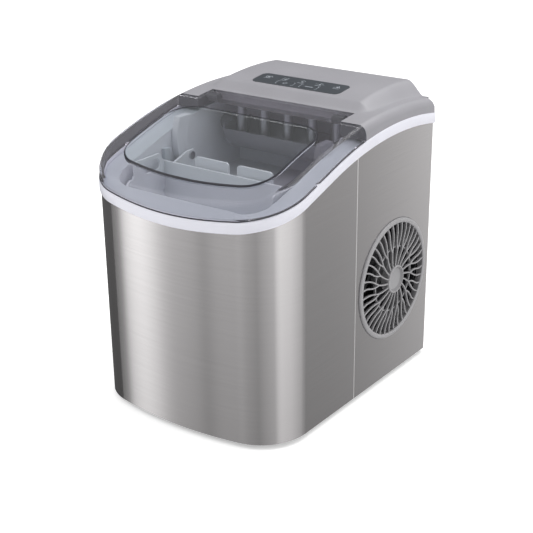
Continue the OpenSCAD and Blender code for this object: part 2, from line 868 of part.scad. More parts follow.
module lid_reach() {
    box(-BIG, BIG, -40, lid_rear, 150, BIG);
    box(-tab_half_w, tab_half_w, -40, tab_rear, 150, BIG);
}

LIP_W = 23;         // finger notch in the lid's lower edge
LIP_Y = 72;
LIP_H = 2;

module lid_frame() {
    knuckle_end = tab_half_w - KNUCKLE_IN;
    color("dimgray", 0.6) placed()
        difference() {
            union() {
                difference() {
                    intersection() {
                        skin_solid(0, 180, 0, COVER_OUT);
                        above_trim(lid_seat);
                        lid_reach();
                    }
                    intersection() {
                        plan_block(lid_wall + 0.4);
                        along_x(BIG) under_skin(-lid_wall);
                        box(-BIG, BIG, -40, tab_rear - 2, 150, BIG);
                    }
                    translate([0, 0, 200]) linear_extrude(100) window_plan(0);
                    both_sides()
                        box(half_w - 6, half_w + 6, LIP_Y, LIP_Y + LIP_W, 200,
                            edge_z(LIP_Y) + trim_h + LIP_H);
                }
                both_sides()
                    x_rod(knuckle_r, knuckle_end - knuckle_len, knuckle_len, hinge_y, hinge_z);
            }
            both_sides()
                x_rod(pin_r + pin_clear, knuckle_end - knuckle_len - 1, knuckle_len + 6,
                      hinge_y, hinge_z);
            // the rear wall stays clear of the pocket
            difference() {
                box(-BIG, BIG, hinge_y, BIG, 200, BIG);
                x_rod(pocket_r - 0.5, -BIG, 2 * BIG, hinge_y, hinge_z);
            }
        }
}

module lid_window() {
    color("lightsteelblue", 0.4) placed()
        intersection() {
            translate([0, 0, 200]) linear_extrude(100) window_plan(fit_gap);
            along_x(BIG) difference() {
                under_skin(window_lift);
                under_skin(-lid_wall);
            }
        }
}

module hinge_pins() {
    inner = tab_half_w - KNUCKLE_IN - knuckle_len + 1;
    color("silver") placed()
        both_sides()
            x_rod(pin_r, inner, tab_half_w + lid_gap + FLANK_WALL - inner, hinge_y, hinge_z);
}

// ---- tub, insulation and basket ----

module tub_space(grow, low) {
    translate([0, 0, tub_floor - low]) linear_extrude(BIG)
        tub_plan(tub_hw + grow, tub_front - grow, tub_rear + grow, tub_r + grow);
    box(-tub_hw - grow, tub_hw + grow, tub_front + tub_r, bay_rear + grow,
        bay_floor - low, BIG);
}

LEDGE_W = tub_hw - basket_hw + 4;   // ledges that carry the basket
LEDGE_T = 4;
TUB_PORT_X = 40;    // port to the pump

module inner_tub() {
    rim0 = trim_ledge_t;
    rim1 = trim_ledge_t + tub_rim_t;
    inset = trim_t - trim_out + clear;
    color("lightsteelblue") placed()
        difference() {
            union() {
                intersection() {
                    tub_space(tub_wall, tub_wall);
                    along_x(BIG) under_edge(rim0 + 0.1);
                }
                intersection() {
                    plan_block(inset);
                    along_x(BIG) difference() {
                        under_edge(rim1);
                        under_edge(rim0);
                    }
                    box(-BIG, BIG, -10, bay_rear + tub_wall, 0, BIG);
                }
            }
            difference() {
                tub_space(0, 0);
                both_sides()
                    box(tub_hw - LEDGE_W, tub_hw + 1, basket_front + basket_r,
                        basket_rear - 4, basket_floor - clear - LEDGE_T,
                        basket_floor - clear);
            }
            // shaft of the water tray, spout, ports of the pump and the drain
            x_rod(shaft_r + pin_clear, -tub_hw - 10, 20, tray_y, tray_z);
            y_rod(SPOUT_R + fit_gap, bay_rear - 5, 20, SPOUT_X, spout_z);
            y_rod(hose_r, tub_rear - 5, 20, TUB_PORT_X, tub_floor + hose_r + 1);
            y_rod(hose_r, tub_rear - 5, 20, drain_x, tub_floor + hose_r + 1);
        }
}

FOAM_REAR = 120;

module tub_insulation() {
    inset = steel_t + fit_gap + pan_rim_t + fit_gap;
    color("ivory") placed()
        difference() {
            intersection() {
                plan_block(inset, pan_t + fit_gap, BIG);
                along_x(BIG) under_edge(-2);
                box(-BIG, BIG, 0, FOAM_REAR, 0, BIG);
            }
            tub_space(tub_wall + fit_gap, tub_wall + fit_gap);
        }
}

EAR_R = 4;          // rounding of the ears' corners
EAR_LEAN = 3;       // spread of their ends towards the rim
GRIP_R = 5.8;       // half height of the finger hole under each ear
GRIP_LEN = 12;      // between the centres of its round ends
GRIP_REAR = 8.5;    // rear centre ahead of the ear's end
grip_z = basket_top + ear_rise - GRIP_R - 3.6;

// (y, z) outline of the basket: follows the steel's edge, then level
module basket_rim() {
    intersection() {
        under_edge(-basket_drop);
        square([BIG, basket_top]);
    }
}

module basket_ear() {
    top = basket_top + ear_rise;
    polygon(concat(
        [[ear_front - EAR_LEAN, basket_floor]],
        arc_points(ear_front + EAR_R, top - EAR_R, EAR_R, 270, 180, 4),
        arc_points(ear_rear - EAR_R, top - EAR_R, EAR_R, 180, 90, 4),
        [[ear_rear + EAR_LEAN, basket_top], [ear_rear + EAR_LEAN, basket_floor]]));
}

module ice_basket() {
    inner = basket_hw - basket_wall;
    color("aliceblue") placed()
        difference() {
            intersection() {
                translate([0, 0, basket_floor]) linear_extrude(BIG)
                    tub_plan(basket_hw, basket_front, basket_rear, basket_r);
                union() {
                    along_x(BIG) basket_rim();
                    along_x(BIG) basket_ear();
                }
            }
            translate([0, 0, basket_floor + basket_wall]) linear_extrude(BIG)
                tub_plan(inner, basket_front + basket_wall, basket_rear - basket_wall,
                         basket_r - basket_wall);
            // drain slots in the floor
            for (i = [-4 : 4])
                translate([i * slot_pitch, 0, basket_floor - 1]) {
                    box(-slot_r, slot_r, basket_front + 15, basket_rear - 15, 0, 20);
                    for (y = [basket_front + 15, basket_rear - 15])
                        translate([0, y, 0]) cylinder(r = slot_r, h = 20);
                }
            // finger recess in each side
            both_sides() {
                for (y = [ear_rear - GRIP_LEN - GRIP_REAR, ear_rear - GRIP_REAR])
                    x_rod(GRIP_R, inner - 2, 8, y, grip_z);
                box(inner - 2, inner + 6, ear_rear - GRIP_LEN - GRIP_REAR,
                    ear_rear - GRIP_REAR, grip_z - GRIP_R, grip_z + GRIP_R);
            }
        }
}

// ---- rake ----

CHEEK_T = 7.6;
RAKE_PIN_R = 2.5;

module guide_cheeks() {
    color("aliceblue") placed()
        both_sides()
            difference() {
                from_x(tub_hw - CHEEK_T - fit_gap, CHEEK_T)
                    intersection() {
                        difference() {
                            translate([rake_y + 40, rake_z + 15]) circle(r = 52, $fn = 128);
                            translate([rake_y + 40, rake_z + 15]) circle(r = 37, $fn = 128);
                        }
                        translate([rake_y - 30, rake_z - 13]) square([40, 51]);
                    }
                x_rod(RAKE_PIN_R + pin_clear, 0, BIG, rake_y, rake_z);
            }
}

TAB_R = 3.5;        // rounding of the rake's two tabs

module ice_rake() {
    color("aliceblue") placed()
        difference() {
            union() {
                box(-rake_hw, rake_hw, rake_front, rake_front + rake_t,
                    rake_low, rake_top - rake_gap_d);
                both_sides()
                    translate([0, rake_front + rake_t, 0]) rotate([90, 0, 0])
                        linear_extrude(rake_t) polygon(concat(
                            [[rake_gap_w / 2, rake_low]],
                            arc_points(rake_gap_w / 2 + TAB_R, rake_top - TAB_R, TAB_R, 270, 180, 4),
                            arc_points(rake_tab_hw - TAB_R, rake_top - TAB_R, TAB_R, 180, 90, 4),
                            [[rake_tab_hw, rake_low]]));
                both_sides() {
                    from_x(rake_hw - rake_t, rake_t)
                        polygon([[rake_front, rake_low], [rake_y + 5, rake_z - 8],
                                 [rake_y + 5, rake_z + 5], [rake_y - 5, rake_z + 5],
                                 [rake_front, rake_top - rake_gap_d]]);
                }
                // floor that ice slides over
                along_x(2 * rake_hw)
                    polygon([[rake_front, rake_low], [rake_front + 2, rake_low],
                             [rake_y + 5, rake_z - 20], [rake_y + 5, rake_z - 22],
                             [rake_front + 2, rake_low - 2]]);
                both_sides()
                    from_x(rake_hw - rake_t, rake_t)
                        polygon([[rake_front + 2, rake_low - 1], [rake_y + 5, rake_z - 21],
                                 [rake_y + 5, rake_z - 6]]);
            }
            both_sides()
                x_rod(RAKE_PIN_R + pin_clear, rake_hw - 10, 20, rake_y, rake_z);
        }
}

module rake_pins() {
    color("gray") placed()
        both_sides() {
            x_rod(RAKE_PIN_R, rake_hw - rake_t - clear, tub_hw - rake_hw + rake_t, rake_y, rake_z);
            x_rod(4, rake_hw - rake_t - clear - 2, 2, rake_y, rake_z);
        }
}

module ice_sensors() {
    y = basket_rear + 8;
    color("black") placed()
        both_sides()
            box(tub_hw - fit_gap - 4, tub_hw - fit_gap, y - 4, y + 4,
                edge_z(y) - 18, edge_z(y) - 6);
}

// ---- freezing fingers and water tray ----

front_fingers = [for (i = [-2 : 2]) i * finger_pitch];
rear_fingers = [for (i = [-2 : 1]) (i + 0.5) * finger_pitch];
evap_end = 2 * finger_pitch + 8;
bracket_z = edge_z(finger_rear_y) + trim_ledge_t + tub_rim_t + fit_gap;

module evaporator() {
    color("silver") placed() {
        for (y = [finger_front_y, finger_rear_y])
            x_rod(evap_r, -evap_end, 2 * evap_end, y, evap_z);
        y_rod(evap_r, finger_front_y, finger_rear_y - finger_front_y, evap_end, evap_z);
        for (x = front_fingers) finger(x, finger_front_y);
        for (x = rear_fingers) finger(x, finger_rear_y);
    }
}

module finger(x, y) {
    translate([x, y, finger_end + finger_r])
        cylinder(r = finger_r, h = evap_z - finger_end - finger_r);
    translate([x, y, finger_end + finger_r]) sphere(r = finger_r);
    translate([x, y, bracket_z + BRACKET_T + fit_gap / 2])
        cylinder(r = finger_r + 1.5, h = 2);
}

BRACKET_T = 1.6;

module evaporator_bracket() {
    reach = tub_hw + 8;
    color("gainsboro") placed()
        difference() {
            box(-reach, reach, finger_front_y - 9, finger_rear_y + 9,
                bracket_z, bracket_z + BRACKET_T);
            for (x = front_fingers)
                translate([x, finger_front_y, 200]) cylinder(r = finger_r + clear, h = 100);
            for (x = rear_fingers)
                translate([x, finger_rear_y, 200]) cylinder(r = finger_r + clear, h = 100);
        }
}

module water_tray() {
    outer = tray_r + tray_wall;
    color("lightsteelblue") placed()
        difference() {
            intersection() {
                x_rod(outer, -tray_hw, 2 * tray_hw, tray_y, tray_z);
                box(-BIG, BIG, 0, BIG, 0, tray_z + shaft_r + 2);
            }
            x_rod(tray_r, tray_wall - tray_hw, 2 * (tray_hw - tray_wall), tray_y, tray_z);
            box(tray_wall - tray_hw, tray_hw - tray_wall, 0, BIG, tray_z, BIG);
            both_sides()
                x_rod(shaft_r + pin_clear, tray_hw - 6, 12, tray_y, tray_z);
        }
}

module tray_shaft() {
    inner = tray_hw - tray_wall;
    motor_end = tub_hw + tub_wall + 3;
    color("silver") placed() {
        x_rod(shaft_r, -motor_end, motor_end - inner, tray_y, tray_z);
        x_rod(shaft_r, inner, tub_hw - inner - 1, tray_y, tray_z);
    }
}

module tray_bushes() {
    color("white") placed()
        both_sides()
            difference() {
                x_rod(shaft_r + 4, tray_hw + 2, tub_hw - tray_hw - 2 - fit_gap,
                      tray_y, tray_z);
                x_rod(shaft_r + pin_clear, tray_hw, BIG, tray_y, tray_z);
            }
}

module tray_motor() {
    x1 = -tub_hw - tub_wall - fit_gap;
    color("goldenrod") placed()
        difference() {
            x_rod(gear_motor_r, x1 - gear_motor_len, gear_motor_len, tray_y, tray_z - 4);
            x_rod(shaft_r + pin_clear, x1 - 4, 10, tray_y, tray_z);
        }
}

SPOUT_R = 3;
SPOUT_X = tray_hw - 8;
spout_z = bracket_z - SPOUT_R - 0.8;

module fill_spout() {
    color("white") placed()
        difference() {
            union() {
                y_rod(SPOUT_R, tray_y + 3, bay_rear + tub_wall + 4 - tray_y - 3,
                      SPOUT_X, spout_z);
                y_rod(SPOUT_R + 3, bay_rear - fit_gap - 2, 2, SPOUT_X, spout_z);
            }
            y_rod(SPOUT_R - 1, tray_y, 60, SPOUT_X, spout_z);
        }
}

// ---- fan and grilles ----

phase = 3.75;       // turn of the first outer vane
VANE_JOIN = 2.5;    // where three vanes meet, inside the ring
VANE_DEPTH = 3.6;   // front to back
VANE_BACK = 0.4;    // vanes behind the front of the outer ring

// Turn of a vane at radius r, as a share of half a pitch
function outer_swing(r, joins) =
    let (u = max(0, (grille_open_r - r) / (grille_open_r - grille_mid_r + VANE_JOIN)))
    joins ? 1.3 * pow(u, 2.6) - 0.42 * u : -0.12 * sin(360 * u) - 0.1 * pow(u, 6);
function inner_swing(r) =
    0.83 + (grille_mid_r - VANE_JOIN - r) / (grille_mid_r - VANE_JOIN - grille_hub_r);

// Outline of one vane: a strip of even width along a curve of angle over radius
module vane(r0, r1, angles, steps = 8) {
    path = [for (i = [0 : steps])
        let (r = r0 + (r1 - r0) * i / steps, a = angles(r)) r * [cos(a), sin(a)]];
    side = function (i)
        let (d = path[min(i + 1, steps)] - path[max(i - 1, 0)])
        [-d.y, d.x] / norm(d) * vane_t / 2;
    polygon(concat(
        [for (i = [0 : steps]) path[i] + side(i)],
        [for (i = [steps : -1 : 0]) path[i] - side(i)]));
}

module grille_field() {
    pitch = 360 / vane_count;
    for (i = [0 : vane_count - 1]) rotate(phase + i * pitch) {
        vane(grille_mid_r - VANE_JOIN, grille_open_r + 0.5,
             function (r) pitch / 2 * outer_swing(r, true));
        vane(grille_mid_r - VANE_JOIN, grille_open_r + 0.5,
             function (r) pitch / 2 * (1 + outer_swing(r, false)));
        vane(grille_hub_r - 1, grille_mid_r - VANE_JOIN + 0.5,
             function (r) pitch / 2 * inner_swing(r));
    }
}

module side_grille() {
    face = half_w;
    translate([0, fan_y, fan_z]) {
        from_x(face + grille_out - VANE_BACK - VANE_DEPTH, VANE_DEPTH) grille_field();
        from_x(face - grille_depth,
               grille_depth + grille_out - VANE_BACK - ring_back) difference() {
            circle(r = grille_mid_r + 0.7);
            circle(r = grille_mid_r - 0.7);
        }
        from_x(face - grille_depth, grille_depth + grille_hub_out) circle(r = grille_hub_r);
        difference() {
            union() {
                x_rod(grille_r, face, grille_out, 0, 0);
                x_rod(grille_hole_r - fit_gap, face - grille_depth, grille_depth, 0, 0);
            }
            x_rod(grille_open_r, face - 20, 40, 0, 0);
        }
    }
}

module right_grille() {
    color("lightgray") placed() side_grille();
}

module left_grille() {
    color("lightgray") placed() mirror([1, 0, 0]) side_grille();
}

fan_x = half_w - grille_depth - 22;     // middle of the blades

module fan_blade() {
    color("dimgray") placed() translate([fan_x, fan_y, fan_z])
        difference() {
            union() {
                x_rod(fan_hub_r, -9, 18, 0, 0);
                intersection() {
                    x_rod(fan_r, -14, 28, 0, 0);
                    for (i = [0 : blade_count - 1])
                        rotate([i * 360 / blade_count, 0, 0])
                            rotate([0, 0, 90 - blade_pitch])
                                translate([-15, -0.9, 4]) cube([30, 1.8, fan_r]);
                }
            }
            x_rod(fan_shaft_r + pin_clear, -20, 26, 0, 0);
        }
}

motor_x1 = fan_x - 9 - 2;               // front face of the fan motor

module fan_motor() {
    color("gray") placed() {
        x_rod(fan_motor_r, motor_x1 - fan_motor_len, fan_motor_len, fan_y, fan_z);
        x_rod(fan_shaft_r, motor_x1 - 1, fan_x + 5 - motor_x1, fan_y, fan_z);
    }
}

module fan_shroud() {
    x0 = motor_x1 - 14;
    x1 = half_w - grille_depth - clear;
    outer = shroud_r + shroud_t;
    color("darkslategray") placed()
        difference() {
            union() {
                x_rod(outer, x0, x1 - x0, fan_y, fan_z);
                box(x0, x1 - 2, fan_y - 24, fan_y + 24, pan_t, fan_z - shroud_r - 1);
            }
            x_rod(shroud_r, x0 + 4, BIG, fan_y, fan_z);
            difference() {
                x_rod(shroud_r, x0 - 1, 20, fan_y, fan_z);
                x_rod(fan_motor_r + fit_gap + 3, x0 - 1, 20, fan_y, fan_z);
                for (a = [90, 210, 330]) translate([0, fan_y, fan_z]) rotate([a, 0, 0])
                    box(x0 - 1, x0 + 4, 0, shroud_r + 1, -3, 3);
            }
            x_rod(fan_motor_r + fit_gap, x0 - 2, 20, fan_y, fan_z);
            box(x0 + 3, x1, fan_y - 21, fan_y + 21, pan_t + 3, fan_z - outer - 3);
        }
}

// ---- cooling unit ----

comp_z0 = pan_t + mount_h;

module compressor() {
    color("black") placed() translate([-comp_x, comp_y, comp_z0]) {
        difference() {
            box(-comp_r, comp_r, -comp_r + 4, comp_r - 4, 0, 3);
            for (x = [-1, 1], y = [-1, 1])
                translate([x * (comp_r - mount_r), y * (comp_r - mount_r - 4), -1])
                    cylinder(r = 3, h = 6);
        }
        rotate_extrude($fn = 96) {
            translate([0, 3]) square([comp_r - 10, comp_h - 3]);
            translate([0, 13]) square([comp_r, comp_h - 36]);
            intersection() {
                translate([comp_r - 13, comp_h - 23]) circle(r = 13);
                translate([0, comp_h - 24]) square([comp_r, 40]);
            }
            translate([0, comp_h - 24]) square([comp_r - 13, 14]);
            translate([0, 3]) square([comp_r - 10, 12]);
            intersection() {
                translate([comp_r - 10, 13]) circle(r = 10);
                square([comp_r, 14]);
            }
        }
        translate([0, 0, comp_h - 1]) cylinder(r = line_r + 1.2, h = 5);
        translate([comp_r - 12, 0, comp_h - 30]) cylinder(r = line_r + 1.2, h = 36);
    }
}

module compressor_mounts() {
    color("black") placed() translate([-comp_x, comp_y, pan_t])
        for (x = [-1, 1], y = [-1, 1])
            translate([x * (comp_r - mount_r), y * (comp_r - mount_r - 4), 0]) {
                cylinder(r = mount_r, h = mount_h);
                cylinder(r = 3 - clear, h = mount_h + 4);
            }
}

cond_z0 = fan_z - cond_w / 2;
cond_y0 = fan_y - cond_w / 2;
fin_count = floor(cond_w / fin_pitch);

module condenser() {
    color("peru") placed() {
        for (i = [0 : fin_count])
            box(cond_x, cond_x + cond_t, cond_y0 + i * fin_pitch,
                cond_y0 + i * fin_pitch + fin_t, cond_z0, cond_z0 + cond_w);
        for (y = [cond_y0 - 1.2, cond_y0 + cond_w])
            box(cond_x, cond_x + cond_t, y, y + 1.2, pan_t, cond_z0 + cond_w);
        for (x = [cond_x + cond_t * 0.3, cond_x + cond_t * 0.7], i = [0 : 3])
            y_rod(line_r + 1, cond_y0 - 3, cond_w + 6, x, cond_z0 + cond_w * (i + 0.5) / 4);
    }
}

// Top of the compressor's two stubs
comp_out = [-comp_x, comp_y, comp_z0 + comp_h + 4 + fit_gap];
comp_in = [-comp_x + comp_r - 12, comp_y, comp_z0 + comp_h + 6 + fit_gap];
line_z = comp_z0 + comp_h + 18;
cond_port = [cond_x + cond_t * 0.3, cond_y0 - 3 - fit_gap, cond_z0 + cond_w * 3.5 / 4];

module discharge_line() {
    color("peru") placed()
        line_run([comp_out, [comp_out.x, comp_out.y, line_z],
                  [comp_out.x, cond_port.y - 8, line_z],
                  [cond_port.x, cond_port.y - 8, line_z],
                  [cond_port.x, cond_port.y - 8, cond_port.z], cond_port], line_r);
}

pipe_y = bay_rear + tub_wall + 8;       // lines and hoses climb behind the bay here

module suction_line() {
    x = evap_end - 14;
    color("peru") placed()
        line_run([[x, finger_rear_y + evap_r + fit_gap, evap_z], [x, pipe_y, evap_z],
                  [x, pipe_y, line_z + 30], [comp_in.x, pipe_y, line_z + 30],
                  [comp_in.x, pipe_y, line_z + 12],
                  [comp_in.x, comp_in.y, line_z + 12], comp_in], line_r);
}

module filter_drier() {
    x = cond_x + cond_t * 0.3;
    y = cond_y0 + cond_w + 3 + fit_gap;
    z = cond_z0 + cond_w / 8;
    color("peru") placed() {
        line_run([[x, y, z], [x, y + 6, z], [x, y + 6, z + 12]], line_r);
        translate([x, y + 6, z + 10]) cylinder(r = 6, h = 44);
        // capillary up to the evaporator
        line_run([[x, y + 6, z + 50], [x, y + 6, evap_z],
                  [x, finger_rear_y + evap_r + fit_gap, evap_z]], 1.2);
    }
}

module hot_gas_valve() {
    z = line_z - line_r - 1.5;
    color("steelblue") placed()
        difference() {
            union() {
                translate([cond_port.x - 34, cond_port.y - 8, line_z])
                    rotate([0, 90, 0]) cylinder(r = line_r + 3, h = 14);
                translate([cond_port.x - 27, cond_port.y - 8, line_z + 4])
                    cylinder(r = 9, h = 20);
            }
            x_rod(line_r + pin_clear, -BIG, 2 * BIG, cond_port.y - 8, line_z);
        }
}

// ---- water and power ----

module water_pump() {
    x = TUB_PORT_X;
    y0 = tub_rear + tub_wall + fit_gap;
    color("black") placed() {
        translate([x, y0 + 12, pan_t]) cylinder(r = 11, h = 34);
        y_rod(hose_r - 1, y0 - tub_wall, 14, x, tub_floor + hose_r + 1);
        translate([x, y0 + 12, pan_t + 30]) cylinder(r = hose_r + 2, h = 20);
    }
}

module pump_hose() {
    y0 = tub_rear + tub_wall + fit_gap + 12;
    z1 = bay_floor - tub_wall - 8;
    color("whitesmoke") placed()
        line_run([[TUB_PORT_X, y0, pan_t + 50 + fit_gap], [TUB_PORT_X, y0, z1],
                  [SPOUT_X, y0, z1], [SPOUT_X, pipe_y, z1], [SPOUT_X, pipe_y, spout_z],
                  [SPOUT_X, bay_rear + tub_wall + 4 + fit_gap, spout_z]], hose_r);
}

DRAIN_SOCKET_T = 3;
SOCKET_LEN = 22;
PLUG_HEAD_R = 11;

module drain_hose() {
    y0 = tub_rear + tub_wall + fit_gap;
    z0 = tub_floor + hose_r + 1;
    color("whitesmoke") placed()
        line_run([[drain_x, y0, z0], [drain_x, y0 + 10, z0], [drain_x, y0 + 10, drain_z],
                  [drain_x, body_d - SOCKET_LEN - fit_gap, drain_z]], hose_r);
}

module drain_socket() {
    color("white") placed()
        difference() {
            y_rod(drain_r + DRAIN_SOCKET_T, body_d - SOCKET_LEN, SOCKET_LEN, drain_x, drain_z);
            y_rod(drain_r + pin_clear, body_d - SOCKET_LEN + 2, SOCKET_LEN, drain_x, drain_z);
            y_rod(hose_r - 1, body_d - SOCKET_LEN - 1, 10, drain_x, drain_z);
        }
}

module drain_plug() {
    color("black") placed() {
        y_rod(drain_r, body_d - 14, 14.5, drain_x, drain_z);
        y_rod(PLUG_HEAD_R, body_d + 0.3, 1.2, drain_x, drain_z);
    }
}

GLAND_T = 4;
GLAND_LEN = 16;

module cord_gland() {
    color("black") placed()
        difference() {
            union() {
                y_rod(gland_bore_r + GLAND_T, body_d - GLAND_LEN, GLAND_LEN + 1, gland_x, gland_z);
                y_rod(gland_bore_r + GLAND_T + 3, body_d, 1.2, gland_x, gland_z);
            }
            y_rod(gland_bore_r, body_d - GLAND_LEN - 1, GLAND_LEN + 4, gland_x, gland_z);
        }
}

ELEC_Z = bay_floor - 44;   // box hangs lower than the bay's floor
ELEC_H = 34;
ELEC_D = 30;
ELEC_X0 = -98;
ELEC_X1 = 10;

module electrics_box() {
    y1 = body_d - steel_t - fit_gap;
    color("whitesmoke") placed()
        difference() {
            box(ELEC_X0, ELEC_X1, y1 - ELEC_D, y1, ELEC_Z, ELEC_Z + ELEC_H);
            box(ELEC_X0 + 2, ELEC_X1 - 2, y1 - ELEC_D + 2, y1 - 2,
                ELEC_Z + 5, ELEC_Z + ELEC_H + 1);
        }
}

module main_board() {
    y1 = body_d - steel_t - fit_gap - 4;
    z = ELEC_Z + 5;
    color("darkgreen") placed() {
        box(ELEC_X0 + 4, ELEC_X1 - 4, y1 - ELEC_D + 8, y1, z, z + 1.6);
        box(ELEC_X0 + 12, ELEC_X0 + 34, y1 - ELEC_D + 11, y1 - 3, z + 1.6, z + 20);
        box(ELEC_X0 + 44, ELEC_X0 + 60, y1 - ELEC_D + 12, y1 - 5, z + 1.6, z + 16);
        box(ELEC_X0 + 72, ELEC_X0 + 92, y1 - ELEC_D + 10, y1 - 4, z + 1.6, z + 12);
    }
}

module panel_screws() {
    color("silver") placed()
        for (s = [-1, 0, 1]) {
            x = s * rear_screw_x + (s == 0 ? 30 : 0);
            y_rod(SCREW_R, body_d - 5, 5, x, pan_rim_h / 2);
            y_rod(SCREW_HEAD_R, body_d, SCREW_HEAD_T, x, pan_rim_h / 2);
        }
}

base_pan();
rubber_feet();
front_wrap();
right_panel();
left_panel();
rear_panel();
trim_band();
top_cover();
control_overlay();
power_key();
select_key();
control_board();
status_lamps();
lid_frame();
lid_window();
hinge_pins();
inner_tub();
tub_insulation();
ice_basket();
guide_cheeks();
ice_rake();
rake_pins();
ice_sensors();
evaporator();
evaporator_bracket();
water_tray();
tray_shaft();
tray_bushes();
tray_motor();
fill_spout();
right_grille();
left_grille();
fan_blade();
fan_motor();
fan_shroud();
compressor();
compressor_mounts();
condenser();
filter_drier();
hot_gas_valve();
discharge_line();
suction_line();
water_pump();
pump_hose();
drain_hose();
drain_socket();
drain_plug();
electrics_box();
main_board();
cord_gland();
panel_screws();
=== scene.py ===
import json
import math

import bmesh
import bpy
import numpy as np
from mathutils import Matrix, Vector

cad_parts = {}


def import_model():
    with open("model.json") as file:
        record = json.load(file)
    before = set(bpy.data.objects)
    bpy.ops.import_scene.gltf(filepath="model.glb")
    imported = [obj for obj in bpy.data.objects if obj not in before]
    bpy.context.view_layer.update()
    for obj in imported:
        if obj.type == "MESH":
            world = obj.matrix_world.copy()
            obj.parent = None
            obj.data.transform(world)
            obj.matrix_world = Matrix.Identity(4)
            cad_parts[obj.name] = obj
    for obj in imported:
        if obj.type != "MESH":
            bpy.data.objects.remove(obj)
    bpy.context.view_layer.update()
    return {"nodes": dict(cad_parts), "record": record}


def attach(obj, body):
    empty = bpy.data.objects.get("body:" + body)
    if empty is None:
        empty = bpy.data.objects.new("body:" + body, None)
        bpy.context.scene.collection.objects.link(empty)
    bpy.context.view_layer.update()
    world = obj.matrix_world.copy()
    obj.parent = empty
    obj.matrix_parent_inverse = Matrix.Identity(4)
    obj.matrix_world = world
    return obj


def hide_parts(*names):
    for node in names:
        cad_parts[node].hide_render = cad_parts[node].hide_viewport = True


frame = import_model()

# ---- shared sizes of the casing ----
# millimetres, with the front of the steel at y = 0 and its lower edge at z = 0

BODY_W, BODY_D, FOOT_H = 224.0, 280.0, 5.0
HALF_W = BODY_W / 2
FRONT_R, CORNER_R, REAR_R = 354.5, 50.0, 4.0
CROWN_H, CROWN_R, CROWN_Y = 253.5, 366.0, 212.0
SLOPE, NOSE_R, NOSE_LEN = math.radians(17.74), 70.0, 18.0
TRIM_H, TRIM_OUT, TRIM_T = 10.5, 1.5, 3.5
SKIN_H, SKIN_R, EDGE_R, SKIN_LOW, EDGE_STEPS = 277.0, 480.0, 8.0, 24.0, 9
HUMP_H, HUMP_R, HUMP_Y = 288.4, 340.0, 247.0
FOOT_Y, CREASE_Y, TOP_HW, FOOT_HW, DIP = 176.0, 189.0, 80.0, 102.0, 1.5
CREASE_SOFT, CREASE_DROP, REAR_ROUND, BLEND = 4, 0.045, 3.0, 1.5
LID_WALL, COVER_WALL, COVER_OUT, LID_SEAT = 2.8, 3.0, 1.0, 0.4
LID_REAR, TAB_HW, TAB_REAR, LID_GAP = 150.3, 83.4, 174.2, 1.2
PIN_R, KNUCKLE_LEN, KNUCKLE_END = 2.0, 12.0, 80.4
WIN_HW, WIN_FRONT, WIN_REAR, WIN_R, WIN_BOW, WIN_LIFT = 87.0, 21.3, 129.8, 29.0, 327.0, 1.0
HINGE_Y, HINGE_DROP, KNUCKLE_R = 165.0, 4.9, 4.4
FAN_Y, FAN_Z = 207.2, 104.9
GRILLE_R, OPEN_R, HUB_R, MID_R, RING_OUT, HUB_OUT = 61.7, 57.0, 14.2, 33.0, 2.2, 4.7

CORNER_X = HALF_W - CORNER_R
CORNER_Y = FRONT_R - math.sqrt((FRONT_R - CORNER_R) ** 2 - CORNER_X ** 2)
BOW = math.asin(CORNER_X / (FRONT_R - CORNER_R))
CROWN_Y0 = CROWN_Y - CROWN_R * math.sin(SLOPE)
CROWN_Z0 = CROWN_H - CROWN_R * (1 - math.cos(SLOPE))
NOSE_Z = CROWN_Z0 - (CROWN_Y0 - NOSE_LEN) * math.tan(SLOPE)
NOSE_CY = NOSE_LEN + NOSE_R * math.sin(SLOPE)
NOSE_CZ = NOSE_Z - NOSE_R * math.cos(SLOPE)


def edge_z(y):
    """Upper edge of the steel: nose, straight slope, crown."""
    if y < NOSE_LEN:
        return NOSE_CZ + math.sqrt(NOSE_R ** 2 - (y - NOSE_CY) ** 2)
    if y < CROWN_Y0:
        return NOSE_Z + (y - NOSE_LEN) * math.tan(SLOPE)
    return CROWN_H - CROWN_R + math.sqrt(CROWN_R ** 2 - (y - CROWN_Y) ** 2)


def skin_z(y):
    """Highest line of the lid and cover."""
    return SKIN_H - SKIN_R + math.sqrt(SKIN_R ** 2 - (y - CROWN_Y) ** 2)


def hump_z(y):
    """Top of the control hump."""
    return HUMP_H - HUMP_R + math.sqrt(HUMP_R ** 2 - (y - HUMP_Y) ** 2)


HINGE_Z = skin_z(HINGE_Y) - HINGE_DROP
POCKET_R = math.hypot(TAB_REAR - HINGE_Y, skin_z(TAB_REAR) - HINGE_Z) + 0.8


def ease(u):
    """From 0 to 1 with a soft start and end."""
    u = min(1.0, max(0.0, u))
    return u * u * (3 - 2 * u)


def smax(a, b, k):
    """The greater of two heights, blended over k."""
    h = max(k - abs(a - b), 0.0) / k
    return max(a, b) + h * h * k / 4


def inset_of(x, y):
    """How far a plan point lies inside the casing's outline, and which way out is."""
    ax = abs(x)
    s = 1.0 if x >= 0 else -1.0
    if y >= CORNER_Y:
        return HALF_W - ax, (s, 0.0)
    dx, dy = ax - CORNER_X, y - CORNER_Y
    a = math.atan2(dx, -dy)
    if a > BOW:
        r = math.hypot(dx, dy)
        return CORNER_R - r, (s * dx / r, dy / r)
    r = math.hypot(ax, y - FRONT_R)
    return FRONT_R - r, (s * ax / r, (y - FRONT_R) / r)


def skin_top(x, y):
    """The skin with its rounded edge."""
    d = inset_of(x, y)[0]
    b = max(0.0, EDGE_R - max(d, 0.0))
    return skin_z(y) - EDGE_R + math.sqrt(max(0.0, EDGE_R ** 2 - b * b))


